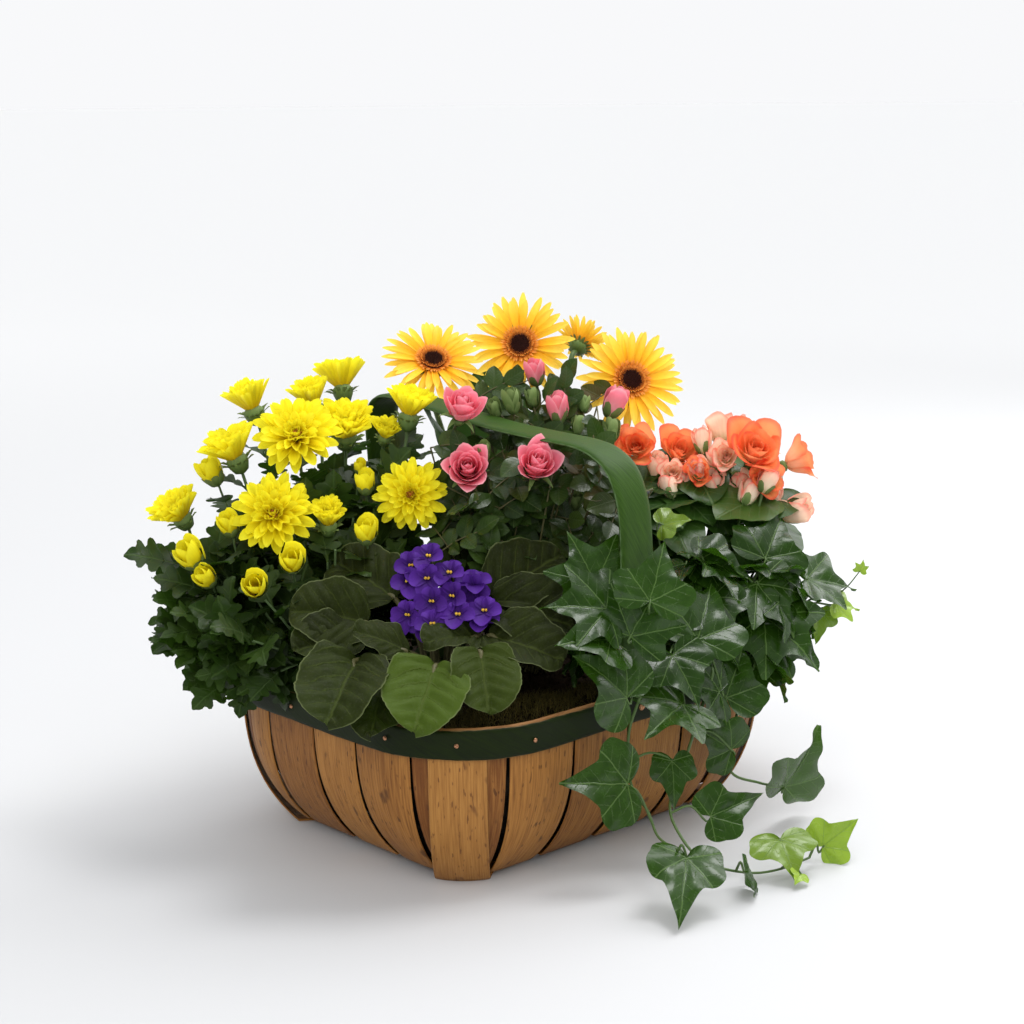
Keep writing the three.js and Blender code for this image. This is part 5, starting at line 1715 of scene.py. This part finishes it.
# %% Rose blooms
ROSE_CROWN = (8, 6)
ROSE_BLOOMS = [  # place, width, tilt, turn, lean of the outer petals (degrees), petals
    ((-29, 6, 284), 34, 35, 250, 28, 18), ((-37, -7, 245), 36, 62, 227, 66, 24),
    ((-19, -55, 252), 37, 50, 238, 60, 20),
]
ROSE_BUDS = [((65, 35, 292), 16, 15, 200), ((104, -4, 270), 19, 25, 320)]
SEPAL_WIDTHS = np.array([0.8, 1.2, 1.1, 0.8, 0.5, 0.25])
chance = np.random.default_rng(41)
ROSE_FINISHES = [ROSE_PETAL, GREEN_PETAL, BROWN_STALK, ROSE_LEAF]
for i, (at, size, tilt, turn, open_out, count) in enumerate(ROSE_BLOOMS, 1):
    at, towards = aimed(at, tilt, turn)
    mould = Mould()
    foot = at - towards * size * 0.34
    nest_of_shells(mould, foot, towards, size, chance, count, open_out, (0.015, 0.07), (0.62, 0.64),
                   (125, 46), 0.012, 0, 0.48, 10, 10, point=(2.6, 1.15))
    green_cup(mould, at - towards * size * 0.30, towards, size, 1, 0.22, 0.12)
    ring_of_straps(mould, foot, towards, size, chance, 5, 0.38, 0.06, SEPAL_WIDTHS * 0.05, 30, -50, 0.4, 0,
                   1, 0.5)
    stem(mould, bloom_stem(ROSE_CROWN, at, towards, size * 0.52), 1.4, 1.1, slot=2)
    mould.piece(f"rose_bloom_{i}", ROSE_FINISHES, [f"rose_flower_{i}"])
chance = np.random.default_rng(44)
for i, (at, size, tilt, turn) in enumerate(ROSE_BUDS, 4):
    at, towards = aimed(at, tilt, turn)
    mould = Mould()
    bud(mould, at, towards, size, chance, 0, 1, 1.35)
    stem(mould, bloom_stem(ROSE_CROWN, at, towards, size * 0.6), 1.4, 1.1, slot=2)
    mould.piece(f"rose_bud_{i - 3}", ROSE_FINISHES, [f"rose_flower_{i}"])

# %% [markdown]
# ## Rose leaves and green buds
# A rose leaf is five small leaflets on one stalk: one at its end and two pairs. They could be one
# flat shape cut into five, but each leaflet folds and shines on its own. Besides the scattered
# ones, two beds of them fill what shows under the handle and behind it.

# %% One rose leaf
LEAFLETS = ((1, 0, 1), (0.66, 1, 0.92), (0.66, -1, 0.92), (0.3, 1, 0.75), (0.3, -1, 0.75))


def pinnate_leaf(mould, base, tip, face, chance, leaf_slot, stalk_slot, big):
    """Each leaflet has a share of the stalk's length, a side and a share of the big size."""
    along = unit(tip - base)
    across = unit(np.cross(along, face))
    stem(mould, smooth_path([base, (base + tip) / 2 + face * 2, tip], 6), 0.6, 0.4, 5, stalk_slot)
    tone = chance.uniform(0, 0.9)
    for share, side, size in LEAFLETS:
        way = unit(along * (1 if side == 0 else 0.5) + across * side + face * 0.1)
        at = base + (tip - base) * share
        if hides_bloom(at + way * big * size * 0.5, big * 0.3):
            continue
        lay_leaf(mould, "rose", at + face * 2 * share * (1 - share) * 2, way,
                 face + chance.normal(scale=0.18, size=3), big * size * chance.uniform(0.85, 1.1),
                 chance, leaf_slot, tone + chance.uniform(-0.15, 0.15), 0.3, 0.35, 0.02)


print("a rose leaf has", len(LEAFLETS), "leaflets")

# %% Where the rose leaves sit
LEVEL, AWAY = np.array([0.734, -0.679, 0]), np.array([0.679, 0.734, 0])  # seen from the front corner
ROSE_BEDS = [  # ranges across the view, up, and away from the front corner, and how many leaves
    ((-42, 84), (176, 262), (-48, -4), 90), ((-6, 80), (250, 288), (28, 72), 44),
]
EVEN_SPREAD = [0.7549, 0.5698]  # steps that spread places evenly over a rectangle


def rose_places(chance):
    """Where the five-part leaves sit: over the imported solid, and close in the beds that show most."""
    places, outward = surface_places("rose_foliage", 80, chance, 14, 112)
    places, outward = [places], [outward]
    for across, up, away, count in ROSE_BEDS:
        share = (np.arange(count)[:, None] * EVEN_SPREAD + 0.5) % 1
        a = across[0] + (across[1] - across[0]) * share[:, :1]
        z = up[0] + (up[1] - up[0]) * share[:, 1:]
        s = chance.uniform(*away, (count, 1))
        places.append(a * LEVEL + s * AWAY + z * [0, 0, 1])
        outward.append(np.tile(-AWAY * 0.9, (count, 1)) + chance.normal(scale=0.2, size=(count, 3)))
    return np.vstack(places), np.vstack(outward)


print("rose beds of", [bed[-1] for bed in ROSE_BEDS], "leaves")

# %% Rose leaves and green buds
GREEN_BUDS = [  # place, size, tilt, turn, whether pink shows
    ((-22, -7, 251), 8, 20, 200, 0), ((30, -41, 215), 8, 30, 240, 0), ((26, 17, 276), 11, 10, 180, 0),
    ((17, 24, 272), 8, 25, 160, 0), ((56, 3, 268), 13, 8, 200, 1), ((91, -15, 252), 10, 20, 60, 0),
    ((50, 22, 276), 8, 15, 90, 0), ((84, 6, 270), 8, 30, 40, 0), ((66, -6, 258), 8, 20, 20, 0),
]
HANDLE_TOP = smooth_path(HANDLE_ROUTE[3:13], 40)
chance = np.random.default_rng(42)
rose = Mould()
keep_in_view([((HANDLE["x"], y, z), 24) for y, z in HANDLE_TOP] + [((108, -22, 243), 36)], 0.5)
keep_in_view(ROSE_BLOOMS + ROSE_BUDS + GREEN_BUDS, 0.40)
for place, out in zip(*rose_places(chance)):
    face = unit(out * 0.7 + [0, 0, 0.55] + chance.normal(scale=0.15, size=3))
    lean = unit(np.cross(face, chance.normal(size=3)) + out * 0.25 + [0, 0, 0.3])
    base = place - lean * 20 - out * 5
    path = shoot_path(ROSE_CROWN, base, 8, 0.55)
    if any(hides_bloom(spot, 2) for spot in path[2:]) or leaf_hides(base, lean, 30):
        continue
    stem(rose, path, 1.0, 0.6, 5, slot=1)
    pinnate_leaf(rose, base, base + lean * chance.uniform(26, 34), face, chance, 0, 1, chance.uniform(16, 21))
for at, size, tilt, turn, pink in GREEN_BUDS:
    at, towards = aimed(at, tilt, turn)
    bud(rose, at, towards, size, chance, 3 if pink else 2, 2, 1.9)
    stem(rose, bloom_stem(ROSE_CROWN, at, towards, size * 0.6), 1.0, 0.7, 5, slot=1)
rose.piece("rose_leaves", [ROSE_LEAF, BROWN_STALK, GREEN_PETAL, ROSE_PETAL], ["rose_foliage"])

# %% [markdown]
# ## Begonia
# The begonia has double coral blooms, broad and softly ruffled, with paler backs. They are shells
# like the rose's, but wider, softer and with no point. A crowd of small pale ones, half open,
# hangs between the big ones, so the same function serves both, with another petal finish.

# %% Begonia blooms
BEGONIA_CROWN = (120, -36)
BEGONIA_BLOOMS = [  # place, width, tilt, turn, lean of the outer petals (degrees)
    ((108, -22, 243), 42, 66, 222, 66), ((138, -36, 238), 42, 50, 240, 60), ((168, -49, 250), 44, 30, 60, 48),
    ((157, -90, 243), 54, 50, 235, 84), ((195, -97, 231), 40, 70, 325, 62),
]


def begonia_bloom(mould, at, size, tilt, turn, open_out, chance, petal_slot, cup_slot, stalk_slot):
    at, towards = aimed(at, tilt, turn)
    nest_of_shells(mould, at - towards * size * 0.24, towards, size, chance, 17, open_out, (0.02, 0.05),
                   (0.30, 0.58), (100, 46), 0.028, petal_slot, 0.24, 9, 10)
    green_cup(mould, at - towards * size * 0.20, towards, size, cup_slot, 0.2, 0.10)
    stem(mould, bloom_stem(BEGONIA_CROWN, at, towards, size * 0.42), 1.5, 1.2, slot=stalk_slot)


chance = np.random.default_rng(51)
BEGONIA_FINISHES = [BEGONIA_PETAL, GREEN_PETAL, GREEN_STALK, PALE_PETAL]
for i, bloom in enumerate(BEGONIA_BLOOMS, 1):
    mould = Mould()
    begonia_bloom(mould, *bloom, chance, 3 if i == 3 else 0, 1, 2)
    mould.piece(f"begonia_bloom_{i}", BEGONIA_FINISHES, [f"begonia_flower_{i}"])
keep_in_view(BEGONIA_BLOOMS, 0.4)
at, towards = aimed((184, -106, 198), 70, 290)
mould = Mould()
bud(mould, at, towards, 27, chance, 3, 1, 1.0, 3)
bud(mould, at + np.array([-12, 6, 1]), facing(60, 250), 15, chance, 3, 3, 1.0, 3)
stem(mould, bloom_stem(BEGONIA_CROWN, at, towards, 14), 1.4, 1.1, slot=2)
mould.piece("begonia_bud", BEGONIA_FINISHES, ["begonia_flower_6"])

# %% [markdown]
# ## Begonia leaves and young blooms
# The leaves are lopsided, glossy hearts, laid like roof tiles under the blooms. The young blooms
# and buds hang among them on short stems, and are made together with them, as one plant.

# %% Places for the begonia
BEGONIA_COLLAR = [  # leaves in a collar under the blooms
    (88, -34, 226), (100, -36, 222), (112, -46, 216), (124, -54, 216), (134, -60, 218), (146, -70, 212),
    (156, -80, 210), (150, -48, 224), (168, -78, 214), (134, -32, 224), (118, -24, 226), (176, -66, 222),
    (142, -92, 206), (166, -96, 206), (106, -58, 208),
]
BEGONIA_EXTRAS = [  # place, width, tilt, turn, lean of the outer petals, whether it is a pale one
    ((130, -62, 226), 28, 66, 222, 40, 0), ((142, -76, 238), 30, 66, 215, 44, 1),
    ((176, -70, 246), 30, 40, 300, 60, 0), ((118, -48, 226), 26, 60, 222, 46, 1),
    ((160, -98, 222), 34, 74, 235, 66, 0), ((182, -78, 240), 26, 50, 300, 44, 1),
]
BEGONIA_BUDS = [  # place, size
    ((118, -34, 228), 20), ((133, -58, 227), 19), ((158, -36, 240), 18), ((150, -60, 232), 20),
    ((168, -88, 222), 20), ((175, -93, 206), 16), ((146, -50, 244), 17), ((182, -66, 232), 18),
    ((160, -76, 214), 20), ((142, -66, 216), 20), ((126, -48, 217), 18), ((150, -20, 238), 18),
    ((184, -84, 218), 18), ((156, -102, 222), 18), ((112, -50, 216), 16), ((150, -90, 212), 18),
]
print(len(BEGONIA_COLLAR), "collar leaves,", len(BEGONIA_EXTRAS), "young blooms,", len(BEGONIA_BUDS), "buds")

# %% Begonia leaves and young blooms
def lie_flat(way, face):
    """The direction nearest to a way that lies in a leaf facing this way."""
    return unit(np.cross(face, np.cross(way, face)))


chance = np.random.default_rng(52)
begonia = Mould()
places, outward = surface_places("begonia_foliage", 60, chance, 19, 112)
places = np.vstack([places, BEGONIA_COLLAR])
outward = np.vstack([outward, np.tile([-0.5, -0.5, 0.7], (len(BEGONIA_COLLAR), 1))])
for place, out in zip(places, outward):
    face = unit(out * 0.6 + [0, 0, 0.6] + chance.normal(scale=0.12, size=3))
    along = lie_flat([out[0], out[1], -0.2] + chance.normal(scale=0.4, size=3), face)
    size = chance.uniform(36, 50)
    foot = place - along * size * 0.45 - out * 4
    stem(begonia, shoot_path(BEGONIA_CROWN, foot, 8, 0.5), 1.3, 0.9, 5, slot=1)
    if leaf_hides(foot, along, size * 0.8):
        continue
    lay_leaf(begonia, "begonia", foot, along, face, size, chance, 0, chance.uniform(0, 0.9), 0.22, 0.6, 0.03,
             width=chance.uniform(0.9, 1.15), twist=chance.uniform(-0.3, 0.3))
for *bloom, pale in BEGONIA_EXTRAS:
    begonia_bloom(begonia, *bloom, chance, 4 if pale else 3, 2, 1)
for at, size in BEGONIA_BUDS:
    at, towards = aimed(at, chance.uniform(10, 34), chance.uniform(0, 360))
    bud(begonia, at, towards, size, chance, 4, 2, 1.15, 4)
    stem(begonia, bloom_stem(BEGONIA_CROWN, at, towards, size * 0.5), 1.3, 1.0, 5, slot=1)
begonia.piece("begonia_leaves", [BEGONIA_LEAF, GREEN_STALK, GREEN_PETAL, BEGONIA_PETAL, PALE_PETAL],
              ["begonia_foliage"])

# %% [markdown]
# ## African violet
# A crowd of deep purple flowers stands over the middle of the rosette. Each has two small petals
# above, three larger ones below and two yellow anthers. They could be copies of one flower, but
# copies show in a crowd this close, so each is made anew and faces its own way.

# %% Violet flowers
VIOLET_CROWN = np.array([-98.0, -52.0, 99.0])
VIOLET_ROOT = np.array([-92, -38, SOIL_TOP])  # the flowers' stems start here
VIOLET_PETALS = [  # angle round the middle, length, width
    (26, 0.42, 0.17), (-26, 0.42, 0.17), (100, 0.50, 0.22), (-100, 0.50, 0.22), (180, 0.55, 0.25),
]
VIOLET_FLOWERS = [
    (-111, -34, 162), (-104, -50, 160), (-90, -56, 164), (-77, -66, 166), (-69, -50, 178), (-80, -40, 184),
    (-94, -30, 184), (-84, -22, 192), (-100, -18, 180), (-107, -45, 155), (-93, -16, 190), (-69, -52, 177),
    (-77, -38, 176), (-77, -65, 158), (-97, -42, 172), (-86, -48, 174),
]
chance = np.random.default_rng(61)
violets = Mould()
for place in VIOLET_FLOWERS:
    at = np.array(place, float) + chance.uniform(-2, 2, 3)
    towards = unit(facing(50, FRONT) + chance.normal(scale=0.32, size=3))
    upward = unit(np.array([0, 0, 1.0]) - towards * towards[2])
    for angle, length, width in VIOLET_PETALS:
        points, faces, blade = strap_petal(np.array([0.3, 0.6, 0.95, 1.1, 1.05]) * width / length,
                                           38, -10 + chance.uniform(-8, 8), 0.45, 6, round_end=0.5)
        points = about_axis(points * length, math.radians(angle))
        violets.add(set_down(points, at, upward, towards, 25), faces, blade, chance.uniform(0.2, 0.8))
    points, faces, blade = nub([(0.5, 0), (0.9, 0.7), (0.9, 1.8), (0.4, 2.4)], 6)
    across = np.cross(upward, towards)
    pair = np.array([across, -across])
    many(violets, points, faces, blade, at + towards * 0.8 + pair, pair,
         np.array([towards + upward * 0.2] * 2), [1.0, 1.0], [0.6, 0.9], 1)
    neck = at - towards * 2
    root = VIOLET_ROOT + (neck - VIOLET_ROOT) * [0.2, 0.2, 0]
    bend = root + (neck - root) * 0.5 + [0, 0, 5]
    path = smooth_path([root, bend, neck - towards * 3 - [0, 0, 2], neck], 10)
    stem(violets, path, 1.1, 0.8, 5, slot=2)
violets.piece("violet_blooms", [VIOLET_PETAL, POLLEN, BROWN_STALK], ["violet_flowers"])

# %% [markdown]
# ## Violet leaves
# The leaves are thick, downy and quilted, and form a rosette. They are large and few, so each has
# its own line in a table: where its stalk meets it, where its tip is and how it faces. Scattered
# leaves of this size would cut through each other.

# %% Violet leaves
VIOLET_LEAVES = [  # foot, tip, face tilt and turn, tone, width
    ((-102, -8, 167), (-112, 41, 184), 35, 215, 0.25, 1.0),
    ((-125, -7, 155), (-165, 22, 165), 50, 215, 0.45, 1.0),
    ((-155, -34, 142), (-205, -66, 117), 42, 222, 0.4, 0.95),
    # The next leaf's tone of 0.05 makes it the darkest: painted shade, where it lies deep between its
    # neighbours.
    ((-141, -45, 131), (-183, -81, 108), 60, 215, 0.05, 0.66),
    ((-126, -75, 141), (-168, -103, 113), 50, 227, 0.95, 1.0),
    ((-99, -86, 147), (-120, -117, 117), 55, 240, 0.8, 1.0),
    ((-123, -44, 143), (-154, -28, 159), 30, 222, 0.5, 0.85),
    ((-83, -66, 149), (-125, -62, 152), 25, 227, 0.55, 0.8),
    ((-78, -71, 150), (-57, -118, 138), 38, 245, 0.35, 0.95),
    ((-55, -52, 166), (-5, -63, 189), 40, 225, 0.15, 1.0),
    ((-59, -54, 164), (-30, -101, 152), 45, 240, 0.1, 1.0),
    ((-137, -10, 147), (-179, 1, 145), 45, 215, 0.1, 1.0),
    ((-85, -17, 165), (-71, 24, 179), 35, 225, 0.1, 0.9),
    ((-66, -21, 169), (-25, -4, 188), 40, 240, 0.15, 0.9),
]
chance = np.random.default_rng(62)
rosette = Mould()
for foot, tip, tilt, turn, tone, width in VIOLET_LEAVES:
    foot, tip = np.array(foot, float), np.array(tip, float)
    along, face = unit(tip - foot), facing(tilt, turn)
    size = np.linalg.norm(tip - foot)
    lay_leaf(rosette, "violet", foot, along, face, size, chance, 0, tone, 0.40, 0.40, 0.06, 0.25, 0.06, width)
    outward = unit((foot - VIOLET_CROWN) * [1, 1, 0])
    start = VIOLET_CROWN + outward * 5 - [0, 0, 4]
    bend = VIOLET_CROWN + (foot - VIOLET_CROWN) * 0.55 + [0, 0, 10]
    stem(rosette, smooth_path([start, bend, foot, foot + along * size * 0.12], 12), 2.2, 1.6, 7, slot=1)
turned(rosette, [(2, -3.3), (12, -2), (9.6, 6), (3, 8)], VIOLET_CROWN, np.array([0, 0, 1.0]), 1, 1)
rosette.piece("violet_rosette", [VIOLET_LEAF, BROWN_STALK], ["violet_leaves"])

# %% [markdown]
# ## Ivy
# The ivy fills the right front corner and trails over the rim. Its large leaves at the front are
# set one by one, because their points and highlights are what the eye rests on there. The rest
# of the plant is scattered like the others. Every leaf has a stalk that leads back to the soil.

# %% Ivy leaves
IVY_CROWN = (76, -96)
IVY_LEAVES = [  # junction, tip, face tilt and turn, tone
    ((-22, -112, 181), (-25, -89, 212), 50, 227, 0.5), ((-28, -127, 169), (-66, -105, 172), 50, 235, 0.45),
    ((-32, -134, 151), (-75, -128, 154), 45, 227, 0.5), ((-22, -142, 153), (-9, -144, 170), 55, 235, 0.15),
    ((-18, -155, 177), (4, -146, 210), 48, 240, 0.5), ((42, -141, 138), (75, -123, 167), 42, 250, 0.5),
    ((72, -140, 92), (90, -136, 117), 60, 235, 0.4),
    ((80, -73, 198), (95, -87, 201), 40, 250, 0.9), ((-31, -148, 116), (-56, -125, 144), 45, 235, 0.6),
    ((17, -151, 102), (-27, -159, 90), 40, 240, 0.5), ((61, -144, 99), (22, -135, 113), 50, 240, 0.3),
    ((132, -121, 174), (164, -109, 198), 50, 250, 0.25), ((169, -128, 154), (201, -143, 144), 35, 275, 0.45),
    ((117, -134, 139), (137, -166, 102), 60, 250, 0.4),
    ((176, -134, 132), (166, -139, 110), 60, 260, 0.9), ((183, -141, 137), (198, -147, 131), 50, 270, 1.2),
    ((110, -141, 113), (128, -144, 77), 80, 330, 0.3), ((112, -116, 148), (88, -122, 125), 55, 240, 0.2),
    ((84, -104, 178), (102, -120, 168), 45, 260, 0.2), ((19, -140, 132), (20, -154, 112), 50, 240, 0.3),
    ((100, -132, 111), (88, -149, 85), 60, 250, 0.25),
]
RIM_OUT, RIM_IN = -134, -112  # places along Y outside and inside the front wall


def ivy_leaf(mould, junction, tip, face, tone, chance, size, kind=None, width=1.06):
    """One ivy leaf. Its size is given, because a leaf that points at us looks short."""
    junction = np.asarray(junction, float)
    along = unit(tip - junction)
    kind = kind or ("pointed ivy" if chance.random() < 0.3 else "ivy")
    lay_leaf(mould, kind, junction, along, face, size, chance, 0, tone, 0.20, 0.45, 0.04, 0.28, 0.22,
             width * chance.uniform(0.93, 1.07), chance.uniform(-0.25, 0.25))
    return junction, along


def ivy_stalk(mould, junction, along, start, over_rim=True):
    """A stalk from a stem to a leaf, over the rim if the leaf hangs outside it."""
    path = [np.asarray(start, float)]
    if over_rim and junction[1] < RIM_OUT and start[1] > RIM_OUT:
        path.append(np.array([(start[0] + junction[0]) / 2, RIM_OUT + 8, 128.0]))
    path += [(path[-1] + junction) / 2 + [0, 0, 6], junction - along * 3 - [0, 0, 2],
             junction + along * 1.5]
    stem(mould, smooth_path(path, 12), 0.9, 0.7, 5, slot=1)


def stalk_from_soil(mould, junction, along):
    root = np.array([*IVY_CROWN, SOIL_TOP])
    root[:2] += (junction[:2] - root[:2]) * 0.35
    root[1] = max(root[1], RIM_IN)
    ivy_stalk(mould, junction, along, root)


TENDRIL = [(150, -122, 128), (172, -130, 140), (188, -135, 139), (197, -141, 146), (205, -146, 157)]
YOUNG = 0.85  # leaves of a higher tone are young, small and lime green
chance = np.random.default_rng(71)
ivy = Mould()
for junction, tip, tilt, turn, tone in IVY_LEAVES:
    size = max(np.linalg.norm(np.subtract(tip, junction)), 22 if tone > YOUNG else 40)
    stalk_from_soil(ivy, *ivy_leaf(ivy, junction, tip, facing(tilt, turn), tone, chance, size))
places, outward = surface_places("ivy_foliage", 34, chance, 22, 104)
for place, out in zip(places, outward):
    face = unit(out * 0.7 + [0, 0, 0.5] + chance.normal(scale=0.15, size=3))
    along = lie_flat([out[0], out[1], -0.4] + chance.normal(scale=0.5, size=3), face)
    size = chance.uniform(32, 46)
    junction = place - along * size * 0.4 - out * 12
    if leaf_hides(junction, along, size):
        continue
    ivy_leaf(ivy, junction, junction + along, face, chance.uniform(0, 0.5), chance, size)
    stalk_from_soil(ivy, junction, along)
tendril = smooth_path(TENDRIL, 16)
stem(ivy, tendril, 0.9, 0.4, 5, slot=1)
ivy_leaf(ivy, tendril[-1], tendril[-1] + [3, -1, 9], facing(60, 250), 1.2, chance, 9)
ivy.piece("ivy_leaves", [IVY_LEAF, GREEN_STALK], ["ivy_foliage"])

# %% [markdown]
# ## Trailing vines
# Three vines hang over the rim, and two of them come to lie on the floor. Cloth or rope physics
# could drop them there, but then their leaves would not fall where they should. Each vine is a
# route of a few points, and what would hang lower than the floor is pressed flat against it.

# %% Trailing vines
FLOOR_CLEAR, FLOOR_GIVE = 0.5, 0.985  # millimetres, and how flat what is lower gets pressed
VINES = {  # the route, and the leaves: junction, tip, face tilt and turn, tone, width
    "front": (
        [(10, -114, 116), (-6, -137, 114), (-20, -139, 88), (-22, -143, 56), (-24, -160, 42),
         (-38, -182, 35), (-46, -206, 35)],
        [((-49, -166, 68), (-87, -144, 72), 70, 227, 0.5, 1.0),
         ((1, -157, 69), (-5, -165, 39), 70, 240, 0.4, 0.8),
         ((-44, -211, 31), (-79, -237, 3), 50, 232, 0.5, 0.75)],
    ),
    "long": (
        [(70, -118, 118), (62, -137, 113), (46, -142, 92), (18, -152, 62), (-8, -164, 44),
         (-21, -184, 33), (-20, -204, 20), (6, -216, 9), (30, -222, 6), (56, -226, 8)],
        [((60, -156, 63), (37, -142, 81), 75, 227, 0.45, 1.0),
         ((8, -184, 37), (44, -196, 46), 60, 240, 0.3, 0.85),
         ((-2, -222, 14), (-15, -241, 6), 85, 300, 0.2, 1.0),
         ((37, -217, 23), (26, -240, 3), 60, 235, 0.9, 1.1),
         ((73, -223, 10), (94, -235, 27), 60, 235, 1.05, 0.95),
         ((32, -238, 7), (22, -242, 4), 60, 235, 1.2, 1.0)],
    ),
    "side": (
        [(112, -116, 112), (104, -137, 110), (82, -141, 78), (58, -156, 50), (79, -164, 37),
         (103, -164, 29)],
        [((105, -164, 28), (129, -173, 68), 74, 290, 0.7, 1.1)],
    ),
}


def lay_on_floor(mould):
    """What would hang lower than the floor lies on it instead."""
    for points in mould.points:
        points[:, 2] -= np.minimum(points[:, 2] - FLOOR_CLEAR, 0) * FLOOR_GIVE


chance = np.random.default_rng(72)
for name, (route, leaves) in VINES.items():
    vine = Mould()
    path = smooth_path(route, 40)
    stem(vine, path, 1.2, 0.8, slot=1)
    for junction, tip, tilt, turn, tone, width in leaves:
        size = max(np.linalg.norm(np.subtract(tip, junction)), 12)
        junction, along = ivy_leaf(vine, junction, tip, facing(tilt, turn), tone, chance, size, "ivy",
                                   width)
        nearest = path[np.argmin(np.linalg.norm(path - junction, axis=1))]
        ivy_stalk(vine, junction, along, nearest, False)
    lay_on_floor(vine)
    vine.piece(f"trailing_ivy_{name}", [IVY_LEAF, GREEN_STALK], [f"ivy_vine_{name}"])
